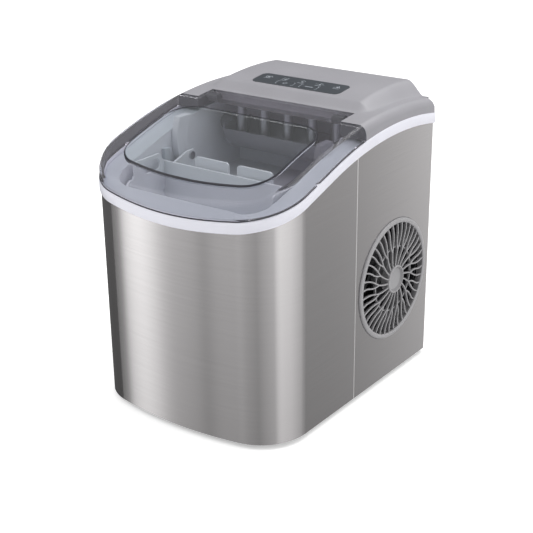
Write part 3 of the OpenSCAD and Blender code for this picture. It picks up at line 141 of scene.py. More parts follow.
def hump_top(x, y):
    """The hump without the skin round it: an eased slope on all sides but the rear."""
    low = skin_z(y) - DIP
    a = max(0.0, (abs(x) - TOP_HW) / (FOOT_HW - TOP_HW))
    b = max(0.0, (CREASE_Y - y) / (CREASE_Y - FOOT_Y))
    down = min(1.0, math.hypot(a, b))
    share = b * b / (a * a + b * b) if down > 0 else 0.0
    rise = share * (1 - down) + (1 - share) * ease(1 - down)
    # a soft crease where the front slope meets the top
    bend = max(0.0, 1 - abs(y - CREASE_Y) / CREASE_SOFT)
    rise -= CREASE_DROP * bend * bend * ease(1 - a)
    back = max(0.0, y - (BODY_D + COVER_OUT - REAR_ROUND))
    fall = REAR_ROUND - math.sqrt(max(0.0, REAR_ROUND ** 2 - back ** 2))
    return low + (hump_z(y) - low) * max(0.0, rise) - fall


def cover_top(x, y):
    """The rear cover: the skin and the hump, blended."""
    return smax(skin_top(x, y), hump_top(x, y), BLEND)


def normal_of(f, x, y):
    """Normal of a height field."""
    h = 0.05
    nx = (f(x - h, y) - f(x + h, y)) / (2 * h)
    ny = (f(x, y - h) - f(x, y + h)) / (2 * h)
    return Vector((nx, ny, 1)).normalized()


def lid_normal(p):
    """Outward normal of the lid's skin at a point in millimetres."""
    x, y, z = p
    d, out = inset_of(x, y)
    lean = (y - CROWN_Y) / SKIN_R
    up = Vector((0, lean, math.sqrt(1 - lean ** 2)))
    side = Vector((out[0], out[1], 0.05))
    a = max(0.0, EDGE_R - d)
    b = max(0.0, EDGE_R - (skin_z(y) - z))
    if a + b < 1e-6:
        return up
    return (side * a + up * b).normalized()


def cover_normal(p):
    """Outward normal of the rear cover at a point in millimetres."""
    x, y = p[0], p[1]
    if inset_of(x, y)[0] < EDGE_R + 1 or abs(x) > FOOT_HW + 2:
        return lid_normal(p)
    return normal_of(cover_top, x, min(y, BODY_D + COVER_OUT - 0.1))


# ---- mesh tools ----

def in_mm(point):
    """A point of a finished mesh, back in the millimetres of the sizes above."""
    return point.x * 1000, point.y * 1000 + BODY_D / 2, point.z * 1000 - FOOT_H


def raw_mesh(name, verts, faces):
    """A mesh whose faces look outwards."""
    me = bpy.data.meshes.new(name)
    me.from_pydata([Vector(v) for v in verts], [], faces)
    me.validate()
    me.update()
    bm = bmesh.new()
    bm.from_mesh(me)
    bmesh.ops.recalc_face_normals(bm, faces=bm.faces)
    bm.to_mesh(me)
    bm.free()
    return me


def temp(verts, faces):
    """An object in millimetres, to cut with or to finish."""
    o = bpy.data.objects.new("tool", raw_mesh("tool", verts, faces))
    bpy.context.collection.objects.link(o)
    return o


def drop(o):
    """Removes an object and its mesh."""
    me = o.data
    bpy.data.objects.remove(o)
    bpy.data.meshes.remove(me)


def cut(target, tools, op="DIFFERENCE"):
    """Applies one boolean with each tool in turn, and removes the tools."""
    for t in tools:
        m = target.modifiers.new("b", "BOOLEAN")
        m.object = t
        m.operation = op
        m.solver = "EXACT"
        bpy.context.view_layer.update()
        deps = bpy.context.evaluated_depsgraph_get()
        me = bpy.data.meshes.new_from_object(target.evaluated_get(deps))
        target.modifiers.clear()
        old = target.data
        target.data = me
        bpy.data.meshes.remove(old)
        drop(t)


def prism(points, z0, z1):
    """An upright solid over a plan outline."""
    n = len(points)
    verts = [(x, y, z0) for x, y in points] + [(x, y, z1) for x, y in points]
    faces = [list(range(n))[::-1], list(range(n, 2 * n))]
    faces += [[i, (i + 1) % n, n + (i + 1) % n, n + i] for i in range(n)]
    return temp(verts, faces)


def slab(outline, x0, x1):
    """A solid across the casing, from an outline of (y, z) points."""
    n = len(outline)
    verts = [(x0, y, z) for y, z in outline] + [(x1, y, z) for y, z in outline]
    faces = [list(range(n)), list(range(n, 2 * n))[::-1]]
    faces += [[i, n + i, n + (i + 1) % n, (i + 1) % n] for i in range(n)]
    return temp(verts, faces)


def block(x0, x1, y0, y1, z0, z1):
    return prism([(x0, y0), (x1, y0), (x1, y1), (x0, y1)], z0, z1)


def rod_x(r, x0, x1, y, z, n=48):
    """A round rod across the casing."""
    turns = [2 * math.pi * i / n for i in range(n)]
    return slab([(y + r * math.cos(a), z + r * math.sin(a)) for a in turns], x0, x1)


def stack(levels, half, zf):
    """A solid of rings: each level is (inset, rise), half(inset) gives the right half of its plan."""
    verts, faces = [], []
    halves = [half(i) for i, _ in levels]
    n = len(halves[0])
    m = 2 * n
    for (inset, rise), pts in zip(levels, halves):
        verts += [(x, y, zf(y) + rise) for x, y in pts]
        verts += [(-x, y, zf(y) + rise) for x, y in reversed(pts)]
    for k in range(len(levels) - 1):
        for i in range(m):
            a, b = k * m + i, k * m + (i + 1) % m
            faces.append([a, a + m, b + m, b])
    t = (len(levels) - 1) * m
    for i in range(n - 1):
        faces.append([i, i + 1, m - 2 - i, m - 1 - i])
        faces.append([t + i, t + m - 1 - i, t + m - 2 - i, t + i + 1])
    return temp(verts, faces)


def band(levels, half, zf):
    """A closed ring: each level (inset, rise) is one line round the casing, the last joins the first."""
    verts, faces = [], []
    for inset, rise in levels:
        pts = half(inset)
        m = 2 * len(pts)
        verts += [(x, y, zf(y) + rise) for x, y in pts]
        verts += [(-x, y, zf(y) + rise) for x, y in reversed(pts)]
    k = len(levels)
    for a in range(k):
        b = (a + 1) % k
        for i in range(m):
            j = (i + 1) % m
            faces.append([a * m + i, b * m + i, b * m + j, a * m + j])
    return temp(verts, faces)


def half_ring(inset, y0, y1, rear_r, bow_n=14, corner_n=18, step=5.0):
    """Right half of the casing's outline between two depths: bow, front corner, side, rear corner."""
    rear_n = 6
    pts = []
    if y0 <= CORNER_Y:
        for i in range(bow_n):
            a = BOW * (i + 0.5) / bow_n
            r = FRONT_R - inset
            pts.append((r * math.sin(a), FRONT_R - r * math.cos(a)))
        for i in range(corner_n + 1):
            a = BOW + (math.pi / 2 - BOW) * i / corner_n
            r = CORNER_R - inset
            pts.append((CORNER_X + r * math.sin(a), CORNER_Y - r * math.cos(a)))
    ya = max(y0, CORNER_Y)
    yb = y1 - (inset + rear_r if rear_r > 0 else 0)
    n = max(2, round((y1 - ya) / step))
    pts += [(HALF_W - inset, ya + (yb - ya) * i / n) for i in range(0 if y0 > CORNER_Y else 1, n + 1)]
    if rear_r > 0:
        for i in range(1, rear_n + 1):
            a = math.pi / 2 * i / (rear_n + 0.5)
            pts.append((HALF_W - inset - rear_r * (1 - math.cos(a)),
                        y1 - inset - rear_r * (1 - math.sin(a))))
    return pts


def edge_half(inset):
    """The whole casing's outline, in the fine steps of the trim band and the lid's hem."""
    return half_ring(inset, 0, BODY_D, REAR_R, bow_n=18, corner_n=24, step=4.0)


def skin_levels(out, wall):
    """Levels for stack(): a wall that flares by out at its foot, then the rounded edge of the skin."""
    r = EDGE_R - wall
    levels = [(wall - out, -SKIN_LOW)]
    for i in range(EDGE_STEPS + 1):
        a = math.pi / 2 * i / EDGE_STEPS
        inset = wall + r * (1 - math.cos(a)) - (out / 2 if i == 0 else 0)
        levels.append((inset, -wall - r * (1 - math.sin(a))))
    return levels


def skin_solid(y0, y1, rear_r, out, wall=0.0):
    """The skin of lid or cover between two depths, filled down to SKIN_LOW."""
    return stack(skin_levels(out, wall), lambda inset: half_ring(inset, y0, y1, rear_r), skin_z)


def below_edge(rise):
    """All that lies under the steel's upper edge, moved up by rise."""
    ahead, under, aside = -20.0, -60, 300
    line = [(y, edge_z(y) + rise) for y in np.arange(0.0, 300.0, 3.0)]
    nose_slope = (edge_z(0.5) - edge_z(0.0)) / 0.5
    line = [(ahead, line[0][1] + nose_slope * ahead)] + line
    return slab([(ahead, under)] + line + [(line[-1][0], under)], -aside, aside)


def arc(cx, cy, r, a0, a1, n):
    """Points of an arc, with angles in degrees from the front (-Y) towards +X."""
    return [(cx + r * math.sin(math.radians(a0 + (a1 - a0) * i / n)),
             cy - r * math.cos(math.radians(a0 + (a1 - a0) * i / n))) for i in range(n + 1)]


def window_half(inset):
    """Right half of the window's outline."""
    cx = WIN_HW - WIN_R
    reach = WIN_BOW - WIN_R
    cy = WIN_FRONT + WIN_BOW - math.sqrt(reach ** 2 - cx ** 2)
    bow = math.degrees(math.asin(cx / reach))
    r = WIN_R - inset
    side = [(WIN_HW - inset, cy + (WIN_REAR - WIN_R - cy) * i / 14) for i in range(1, 14)]
    return (arc(0, WIN_FRONT + WIN_BOW, WIN_BOW - inset, 0.4, bow - 0.6, 12)
            + arc(cx, cy, r, bow, 90, 16) + side + arc(cx, WIN_REAR - WIN_R, r, 90, 179.5, 16))


def mirrored(half):
    """The whole outline from its right half."""
    return half + [(-x, y) for x, y in reversed(half)]


def finish_shape(o, normal=None, angle=32.0):
    """Moves a mesh in millimetres into place and shades it smooth, with the surface's own normals."""
    limit = 0.86        # only faces that lie nearly in the surface take its normals
    me = o.data
    for p in me.polygons:
        p.use_smooth = True
    me.set_sharp_from_angle(angle=math.radians(angle))
    if normal is not None:
        given = [(0.0, 0.0, 0.0)] * len(me.loops)
        cache = {}
        for p in me.polygons:
            fn = p.normal
            for li in p.loop_indices:
                vi = me.loops[li].vertex_index
                if vi not in cache:
                    cache[vi] = normal(me.vertices[vi].co)
                an = cache[vi]
                d = fn.dot(an)
                if d > limit:
                    given[li] = tuple(an)
                elif d < -limit:
                    given[li] = tuple(-an)
        me.normals_split_custom_set(given)
    me.transform(Matrix.Diagonal((0.001, 0.001, 0.001, 1)) @ Matrix.Translation((0, -BODY_D / 2, FOOT_H)))
    me.update()


def piece(o, name, body, replaces, mats):
    """Names a finished object, and says what it rides on, which nodes it replaces."""
    o.name = name
    o.data.name = name
    o.data.materials.clear()
    for m in mats:
        o.data.materials.append(m)
    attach(o, body)
    if replaces:
        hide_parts(*replaces)


# ---- materials ----

def material(name):
    """A new material with an empty node tree and its output."""
    m = bpy.data.materials.new(name)
    m.use_nodes = True
    nt = m.node_tree
    for n in list(nt.nodes):
        nt.nodes.remove(n)
    out = nt.nodes.new("ShaderNodeOutputMaterial")
    return m, nt, out


def add(nt, kind, **values):
    """A new node, with its inputs or settings by name."""
    n = nt.nodes.new(kind)
    for k, v in values.items():
        if k in n.inputs:
            n.inputs[k].default_value = v
        else:
            setattr(n, k, v)
    return n


def noise(nt, scale, detail, rough=0.5, stretch=(1, 1, 1)):
    """Noise in object space."""
    co = add(nt, "ShaderNodeTexCoord")
    mp = add(nt, "ShaderNodeMapping")
    mp.inputs["Scale"].default_value = stretch
    tx = add(nt, "ShaderNodeTexNoise", Scale=scale, Detail=detail, Roughness=rough)
    nt.links.new(co.outputs["Object"], mp.inputs["Vector"])
    nt.links.new(mp.outputs["Vector"], tx.inputs["Vector"])
    return tx.outputs["Fac"]


def ramp(nt, fac, stops):
    """A colour ramp with (position, colour) stops."""
    r = add(nt, "ShaderNodeValToRGB")
    el = r.color_ramp.elements
    while len(el) < len(stops):
        el.new(0.5)
    for e, (pos, col) in zip(el, stops):
        e.position = pos
        e.color = tuple(col) + (1,)
    nt.links.new(fac, r.inputs["Fac"])
    return r.outputs["Color"]


def span(nt, fac, lo, hi):
    """A factor of 0 to 1 spread from lo to hi."""
    r = add(nt, "ShaderNodeMapRange")
    r.inputs["To Min"].default_value = lo
    r.inputs["To Max"].default_value = hi
    nt.links.new(fac, r.inputs["Value"])
    return r.outputs["Result"]


def bump(nt, fac, strength, distance=0.0002):
    b = add(nt, "ShaderNodeBump", Strength=strength, Distance=distance)
    nt.links.new(fac, b.inputs["Height"])
    return b.outputs["Normal"]


def shade(c, k):
    """A colour made brighter or darker."""
    return tuple(min(1.0, v * k) for v in c)


def plastic(name, color, rough, grain, vary, strength, rough_vary, coat=0.0):
    """Moulded plastic: a fine grain, and slow changes of colour and gloss."""
    m, nt, out = material(name)
    p = add(nt, "ShaderNodeBsdfPrincipled")
    p.inputs["Coat Weight"].default_value = coat
    slow = noise(nt, 22.0, 3.0)
    fine = noise(nt, grain, 2.0)
    tone = ramp(nt, slow, [(0.3, shade(color, 1 - vary)), (0.7, shade(color, 1 + vary))])
    nt.links.new(tone, p.inputs["Base Color"])
    nt.links.new(span(nt, slow, rough - rough_vary, rough + rough_vary), p.inputs["Roughness"])
    nt.links.new(bump(nt, fine, strength), p.inputs["Normal"])
    nt.links.new(p.outputs[0], out.inputs[0])
    return m


def metal(name, color, rough, stretch, scale, vary, strength, aniso=0.0, rough_vary=0.04, turn=0.0):
    """Metal with fine lines along the stretch, and slow changes of gloss."""
    m, nt, out = material(name)
    p = add(nt, "ShaderNodeBsdfPrincipled", Metallic=1.0)
    p.inputs["Anisotropic"].default_value = aniso
    p.inputs["Anisotropic Rotation"].default_value = turn
    if aniso:
        t = add(nt, "ShaderNodeTangent", direction_type="RADIAL", axis="Z")
        nt.links.new(t.outputs[0], p.inputs["Tangent"])
    lines = noise(nt, scale, 3.0, 0.6, stretch)
    slow = noise(nt, 9.0, 2.0)
    tone = ramp(nt, lines, [(0.25, shade(color, 1 - vary)), (0.75, shade(color, 1 + vary))])
    nt.links.new(tone, p.inputs["Base Color"])
    nt.links.new(span(nt, slow, rough - rough_vary, rough + rough_vary), p.inputs["Roughness"])
    nt.links.new(bump(nt, lines, strength, 0.0001), p.inputs["Normal"])
    nt.links.new(p.outputs[0], out.inputs[0])
    return m


def shaded_plastic(name, near, far, along, t0, t1):
    """Moulded plastic with painted shade: its colour deepens in one direction, from t0 to t1 in metres."""
    rough, rough_vary = 0.35, 0.05
    m, nt, out = material(name)
    p = add(nt, "ShaderNodeBsdfPrincipled")
    co = add(nt, "ShaderNodeTexCoord")
    at = add(nt, "ShaderNodeVectorMath", operation="DOT_PRODUCT")
    at.inputs[1].default_value = along
    nt.links.new(co.outputs["Object"], at.inputs[0])
    mr = add(nt, "ShaderNodeMapRange")
    mr.inputs["From Min"].default_value = t0
    mr.inputs["From Max"].default_value = t1
    nt.links.new(at.outputs["Value"], mr.inputs["Value"])
    slow = noise(nt, 22.0, 3.0)
    sway = add(nt, "ShaderNodeMath", operation="MULTIPLY_ADD")
    sway.inputs[1].default_value = 0.12
    nt.links.new(slow, sway.inputs[0])
    nt.links.new(mr.outputs["Result"], sway.inputs[2])
    nt.links.new(ramp(nt, sway.outputs[0], [(0.06, near), (1.0, far)]), p.inputs["Base Color"])
    nt.links.new(span(nt, slow, rough - rough_vary, rough + rough_vary), p.inputs["Roughness"])
    nt.links.new(bump(nt, noise(nt, 900.0, 2.0), 0.04), p.inputs["Normal"])
    nt.links.new(p.outputs[0], out.inputs[0])
    return m


def clear_plastic(name, tint):
    """Clear moulded plastic, slightly hazy and uneven, that lets the lamps through."""
    m, nt, out = material(name)
    p = add(nt, "ShaderNodeBsdfPrincipled", Roughness=0.02, IOR=1.2)
    p.inputs["Transmission Weight"].default_value = 0.965
    p.inputs["Specular IOR Level"].default_value = 0.4
    p.inputs["Base Color"].default_value = tuple(tint) + (1,)
    slow = noise(nt, 30.0, 2.0)
    nt.links.new(bump(nt, slow, 0.02), p.inputs["Normal"])
    # shadow and diffuse rays go straight through, so that the tub is lit
    t = add(nt, "ShaderNodeBsdfTransparent")
    t.inputs["Color"].default_value = (0.9, 0.9, 0.9, 1)
    lp = add(nt, "ShaderNodeLightPath")
    mx = add(nt, "ShaderNodeMixShader")
    lit = add(nt, "ShaderNodeMath", operation="MAXIMUM")
    nt.links.new(lp.outputs["Is Shadow Ray"], lit.inputs[0])
    nt.links.new(lp.outputs["Is Diffuse Ray"], lit.inputs[1])
    nt.links.new(lit.outputs[0], mx.inputs[0])
    nt.links.new(p.outputs[0], mx.inputs[1])
    nt.links.new(t.outputs[0], mx.inputs[2])
    nt.links.new(mx.outputs[0], out.inputs[0])
    return m


STEEL = metal("brushed_steel", (0.60, 0.583, 0.585), 0.13, (0.15, 0.15, 14.0), 60.0, 0.03, 0.022,
              0.7, 0.015, 0.25)
STEEL_EDGE = metal("steel_edge", (0.70, 0.69, 0.69), 0.3, (0.15, 0.15, 14.0), 60.0, 0.04, 0.03)
TRIM = plastic("white_trim", (0.84, 0.84, 0.915), 0.32, 700.0, 0.012, 0.03, 0.04, 0.2)
COVER = plastic("grey_cover", (0.325, 0.32, 0.345), 0.42, 1400.0, 0.03, 0.10, 0.05)
GRILLE = plastic("grille_grey", (0.36, 0.355, 0.365), 0.45, 1400.0, 0.03, 0.08, 0.05)
GRILLE_SIDE = plastic("grille_shade", (0.27, 0.266, 0.275), 0.5, 1400.0, 0.05, 0.08, 0.05)
OVERLAY = plastic("overlay_film", (0.055, 0.063, 0.073), 0.35, 1800.0, 0.05, 0.06, 0.05)
PRINT = plastic("overlay_print", (0.36, 0.39, 0.43), 0.5, 900.0, 0.05, 0.02, 0.03)
TUB = plastic("tub_plastic", (0.56, 0.60, 0.66), 0.35, 900.0, 0.03, 0.04, 0.05)
# painted shade: the tub and the left cheek darken towards the rear and the right, where the cover shades
# them
TUB_PAINTED_SHADE = shaded_plastic("tub_painted_shade", (0.74, 0.76, 0.82), (0.42, 0.42, 0.49), (0.9, 1.0, 0.0), -0.05, 0.08)
# dark grey plastic of the bay's parts; on the right cheek it is painted shade
BAY_AND_SHADE = plastic("bay_plastic_and_shade", (0.17, 0.17, 0.20), 0.35, 900.0, 0.06, 0.05, 0.05)
BASKET = plastic("basket_plastic", (0.72, 0.75, 0.80), 0.35, 900.0, 0.03, 0.04, 0.05)
FOAM = plastic("foam", (0.85, 0.80, 0.66), 0.9, 300.0, 0.10, 0.6, 0.03)
BLACK = plastic("black_plastic", (0.022, 0.022, 0.025), 0.45, 900.0, 0.25, 0.10, 0.08)
# dark plastic of the hinge pins, and painted shade on the knuckles, the cover's pocket and the grille seats
DARK_AND_SHADE = plastic("dark_plastic_and_shade", (0.07, 0.072, 0.082), 0.4, 900.0, 0.15, 0.05, 0.06)
# near black: painted shade on the pane's rim, the window seam and the lid's hem
RIM = plastic("lid_rim_shade", (0.03, 0.03, 0.04), 0.3, 900.0, 0.15, 0.03, 0.05)
RUBBER = plastic("rubber", (0.018, 0.018, 0.018), 0.8, 500.0, 0.3, 0.25, 0.05)
PCB = plastic("circuit_board", (0.02, 0.16, 0.06), 0.45, 260.0, 0.35, 0.2, 0.08)
LAMP = plastic("lamp", (0.50, 0.54, 0.58), 0.3, 500.0, 0.05, 0.02, 0.03)
HOSE = plastic("hose", (0.70, 0.71, 0.70), 0.4, 400.0, 0.06, 0.05, 0.05)
SMOKE = clear_plastic("lid_smoke", (0.74, 0.73, 0.775))
CLEAR = clear_plastic("lid_clear", (0.74, 0.76, 0.78))
CHROME = metal("bright_metal", (0.75, 0.75, 0.77), 0.12, (1, 1, 1), 300.0, 0.03, 0.02)
FINGER = metal("finger_plate", (0.42, 0.42, 0.45), 0.42, (1, 1, 1), 200.0, 0.05, 0.03)
SHEET = metal("sheet_metal", (0.72, 0.72, 0.73), 0.35, (1, 1, 6), 120.0, 0.05, 0.05)
COPPER = metal("copper", (0.78, 0.36, 0.18), 0.28, (1, 1, 1), 90.0, 0.14, 0.04)
PAINT = plastic("black_paint", (0.02, 0.02, 0.022), 0.22, 120.0, 0.25, 0.06, 0.05, 0.3)
MOTOR = metal("motor_metal", (0.42, 0.43, 0.44), 0.4, (1, 1, 1), 200.0, 0.06, 0.05)

BY_SLOT = {"steel": STEEL, "white_trim": TRIM, "grey_cover": COVER, "grille_grey": GRILLE,
           "overlay": OVERLAY, "circuit_board": PCB, "lamps": LAMP, "lid_smoke": SMOKE,
           "lid_clear": CLEAR, "tub_plastic": TUB, "foam": FOAM, "black_plastic": BLACK,
           "rubber": RUBBER, "bright_metal": CHROME, "sheet_metal": SHEET, "motor_metal": MOTOR,
           "compressor_black": PAINT, "copper": COPPER, "hose": HOSE}
# nodes that look unlike the rest of their slot
BY_NODE = {"ice_basket": BASKET, "ice_rake": BASKET, "guide_cheeks": TUB_PAINTED_SHADE, "evaporator": FINGER,
           "ice_sensors": TUB, "hinge_pins": DARK_AND_SHADE, "fill_spout": BAY_AND_SHADE, "tray_bushes": BAY_AND_SHADE}
SLOT_OF = {s["node"]: s["material_slot"] for s in frame["record"]["subparts"]}
for node_name, obj in frame["nodes"].items():
    obj.data.materials.clear()
    obj.data.materials.append(BY_NODE.get(node_name, BY_SLOT[SLOT_OF[node_name]]))


# ---- lid ----

FAR, LOW, HIGH = 200, 100, 400                  # reach of the blocks that trim lid and cover
LID_END, INNER_END = 190, 184                   # of the skins that the lid is cut from
FINGER_Y0, FINGER_Y1, FINGER_IN = 72, 95, 6


def finger_notches():
    """Cutters at both sides of the lid, low on its edge."""
    top = edge_z(FINGER_Y0) + TRIM_H + 2
    sides = [sorted((s * (HALF_W - FINGER_IN), s * (HALF_W + FINGER_IN))) for s in (-1, 1)]
    return [block(x0, x1, FINGER_Y0, FINGER_Y1, 200, top) for x0, x1 in sides]


lid = skin_solid(0, LID_END, 0, COVER_OUT)
inner = skin_solid(0, INNER_END, 0, 0.4, wall=LID_WALL)
cut(inner, [block(-FAR, FAR, TAB_REAR - 2, 260, LOW, HIGH)])
cut(lid, [inner])
cut(lid, [below_edge(TRIM_H + LID_SEAT),
          block(-FAR, FAR, TAB_REAR, 260, LOW, HIGH),
          block(TAB_HW, FAR, LID_REAR, 260, LOW, HIGH),
          block(-FAR, -TAB_HW, LID_REAR, 260, LOW, HIGH),
          prism(mirrored(window_half(0)), 200, 330)])
cut(lid, finger_notches())
finish_shape(lid, lid_normal)
piece(lid, "lid_shell", "lid", ["lid_frame"], [SMOKE])

# the dark knuckles are painted shade of the lid's hinge corners, where the smoked lid looks dark
for s, side in ((1, "right"), (-1, "left")):
    x0, x1 = sorted((s * (KNUCKLE_END - KNUCKLE_LEN), s * KNUCKLE_END))
    knuckle = rod_x(KNUCKLE_R, x0, x1, HINGE_Y, HINGE_Z)
    cut(knuckle, [rod_x(PIN_R + 0.05, x0 - 1, x1 + 1, HINGE_Y, HINGE_Z, 32)])
    finish_shape(knuckle)
    piece(knuckle, "lid_knuckle_" + side, "lid", (), [DARK_AND_SHADE])

# the pane stands proud of the lid, and its edge, seen through it, is dark: painted shade on the bevel and
# the rear faces
PANE_GAP, EDGE_DEPTH = 0.05, 0.9
window = stack([(PANE_GAP, -LID_WALL), (PANE_GAP, -EDGE_DEPTH), (PANE_GAP, 0.0),
                (0.1, WIN_LIFT - 0.4), (0.45, WIN_LIFT), (1.0, WIN_LIFT)], window_half, skin_z)
painted_rim_faces = []
for p in window.data.polygons:
    rise = p.center.z - skin_z(p.center.y)
    on_bevel = rise > 0.2 and p.area < 4.5
    at_rear = rise > -EDGE_DEPTH and p.normal.y > 0.3
    if on_bevel or at_rear:
        painted_rim_faces.append(p.index)
finish_shape(window)
piece(window, "lid_pane", "lid", ["lid_window"], [CLEAR, RIM])
for i in painted_rim_faces:
    window.data.polygons[i].material_index = 1

# a dark ring round the pane: its joint with the lid, with the painted shade of that gap
SEAM_OUT, SEAM_TOP = 0.45, 0.08
seam = band([(PANE_GAP, -0.3), (-SEAM_OUT, -0.3), (-SEAM_OUT, SEAM_TOP), (PANE_GAP, SEAM_TOP)],
            window_half, skin_z)
finish_shape(seam)
piece(seam, "window_seam", "lid", (), [RIM])

# dark strip on the lid's lower edge, on the trim band: painted shade of the gap under the lid and of its
# dark edge
HEM_IN, HEM_H = -0.6, 0.8
hem_z, hem_out = TRIM_H + LID_SEAT, -COVER_OUT - 0.1
hem = band([(HEM_IN, hem_z), (hem_out, hem_z), (hem_out, hem_z + HEM_H), (HEM_IN, hem_z + HEM_H)],
           edge_half, edge_z)
cut(hem, [block(-FAR, FAR, LID_REAR - 0.2, 400, LOW, HIGH)] + finger_notches())
finish_shape(hem)
piece(hem, "lid_hem_shade", "lid", (), [RIM])

# ---- top cover ----

SIDE_WALL = 3.4                 # of the cover's hollow to the casing's sides and rear
NOTCH_HW, FLANK_Y, FLANK_WALL = TAB_HW + LID_GAP, LID_REAR + LID_GAP, 3.0
ROOM_Y = HINGE_Y + POCKET_R + COVER_WALL        # front of the hollow, behind the lid's hinge


def even(*runs):
    """Numbers of several even runs, each (first, last, count)."""
    return [float(v) for run in runs for v in np.linspace(*run)]


def hump_block():
    """The hump as a grid of heights over a flat underside that follows the skin's rear."""
    xs = even((-104, -78, 27), (-72, 72, 25), (78, 104, 27))
    ys = even((170, 196, 27), (200, 276, 20), (277.5, 281.0, 8))
    nx, ny = len(xs), len(ys)
    low = skin_z(BODY_D) - 14
    verts = [(x, y, cover_top(x, y) if y <= BODY_D else hump_top(x, y)) for y in ys for x in xs]
    verts += [(x, y, low) for y in ys for x in xs]
    under = nx * ny
    faces = []
    for j in range(ny - 1):
        for i in range(nx - 1):
            a = j * nx + i
            b = a + under
            faces += [[a, a + 1, a + nx + 1, a + nx], [b, b + nx, b + nx + 1, b + 1]]
    rim = list(range(nx)) + [j * nx + nx - 1 for j in range(1, ny)]
    rim += [(ny - 1) * nx + i for i in range(nx - 2, -1, -1)] + [j * nx for j in range(ny - 2, 0, -1)]
    for k in range(len(rim)):
        a, b = rim[k], rim[(k + 1) % len(rim)]
        faces.append([a, a + under, b + under, b])
    return temp(verts, faces)


def under_skin(ys):
    """Line one wall below the skin."""
    return [(y, skin_z(y) - COVER_WALL) for y in ys]


cover = skin_solid(LID_REAR - 10, BODY_D, REAR_R, COVER_OUT)
cut(cover, [hump_block()], "UNION")
room_end = BODY_D - SIDE_WALL
room = under_skin([*np.arange(ROOM_Y, room_end, 6.0), room_end])
cut(cover, [below_edge(TRIM_H),
            block(-FAR, FAR, 0, FLANK_Y, LOW, HIGH),
            block(-NOTCH_HW, NOTCH_HW, 0, HINGE_Y, LOW, HIGH),
            block(-NOTCH_HW, NOTCH_HW, LOW, TAB_REAR + LID_GAP, HINGE_Z, HIGH),
            rod_x(POCKET_R, -NOTCH_HW, NOTCH_HW, HINGE_Y, HINGE_Z, 64),
            slab([(ROOM_Y, LOW)] + room + [(room_end, LOW)], -HALF_W + SIDE_WALL, HALF_W - SIDE_WALL)])
for s in (-1, 1):
    x0, x1 = sorted((s * (NOTCH_HW + FLANK_WALL), s * (HALF_W - SIDE_WALL)))
    y0, y1 = FLANK_Y + FLANK_WALL, ROOM_Y + 2
    cut(cover, [slab([(y0, LOW)] + under_skin(np.linspace(y0, y1, 6)) + [(y1, LOW)], x0, x1)])
# the hump's hollow: a slanting front, then one wall below its top
slant = (hump_z(CREASE_Y) - skin_z(FOOT_Y) + DIP) / (CREASE_Y - FOOT_Y)
front_z = skin_z(FOOT_Y) - DIP - 1.3 * COVER_WALL + (ROOM_Y - FOOT_Y) * slant
rear_y = BODY_D - COVER_WALL
hump_line = [(y, hump_z(y) - COVER_WALL) for y in np.linspace(CREASE_Y + 2, rear_y, 14)]
cut(cover, [slab([(ROOM_Y, 200), (ROOM_Y, front_z), (CREASE_Y, hump_z(CREASE_Y) - 1.3 * COVER_WALL)]
                 + hump_line + [(rear_y, 200)], -TOP_HW + COVER_WALL, TOP_HW - COVER_WALL)])

# ---- controls ----

OVER_HW, OVER_Y0, OVER_Y1, OVER_R, SINK = 52.4, 194.8, 220.9, 6.5, 0.5
KEY_X, KEY_Y, KEY_W, KEY_D, KEY_GAP = 14.2, 201.8, 18.5, 7.0, 0.35
LAMP_Y, LAMP_PITCH, LAMP_HOLE = 212.0, 20.7, 1.7
TOP_Z0, TOP_Z1 = 270, 320       # reach of the cutters through the hump


def overlay_half(inset):
    """Right half of the overlay's outline, a rectangle with round corners."""
    n = 8
    w, y0, y1, r = OVER_HW - inset, OVER_Y0 + inset, OVER_Y1 - inset, max(0.2, OVER_R - inset)
    flat = [((w - r) * (i + 0.5) / n, y0) for i in range(n)]
    back = [(x, y1) for x, _ in reversed(flat)]
    return flat + arc(w - r, y0 + r, r, 0, 90, n) + arc(w - r, y1 - r, r, 90, 180, n) + back


def key_holes():
    """Cutters for the openings round both keys."""
    w, d = KEY_W / 2 + KEY_GAP, KEY_D / 2 + KEY_GAP
    return [block(s * KEY_X - w, s * KEY_X + w, KEY_Y - d, KEY_Y + d, TOP_Z0, TOP_Z1) for s in (-1, 1)]


cut(cover, [stack([(-0.2, -SINK), (-0.2, 6.0)], overlay_half, hump_z)] + key_holes())
finish_shape(cover, cover_normal)
piece(cover, "cover_shell", "cabinet", ["top_cover"], [COVER, DARK_AND_SHADE])
# painted shade: the hinge pocket and the flanks' front faces, which lie in shadow, take the dark material
for p in cover.data.polygons:
    x, y, z = in_mm(p.center)
    in_pocket = abs(x) < NOTCH_HW + 0.3 and y < TAB_REAR + LID_GAP + 0.3 and z < skin_z(y) - 0.6
    on_flank = y < FLANK_Y + 0.3
    p.material_index = 1 if in_pocket or on_flank else 0

overlay = stack([(0, -SINK), (0, 0.15), (0.15, 0.3)], overlay_half, hump_z)
cut(overlay, key_holes())
for i in range(-2, 3):
    turns = [math.pi * k / 16 for k in range(32)]
    ring = [(i * LAMP_PITCH + LAMP_HOLE * math.cos(a), LAMP_Y + LAMP_HOLE * math.sin(a)) for a in turns]
    cut(overlay, [prism(ring, TOP_Z0, TOP_Z1)])
finish_shape(overlay)
piece(overlay, "control_film", "cabinet", ["control_overlay"], [OVERLAY])


def both_sides(pts, width):
    """The left and right side of a line of even width through the points."""
    left, right = [], []
    for i, (x, y) in enumerate(pts):
        (ax, ay), (bx, by) = pts[max(i - 1, 0)], pts[min(i + 1, len(pts) - 1)]
        k = math.hypot(bx - ax, by - ay)
        ox, oy = -(by - ay) / k * width / 2, (bx - ax) / k * width / 2
        left.append((x + ox, y + oy))
        right.append((x - ox, y - oy))
    return left, right


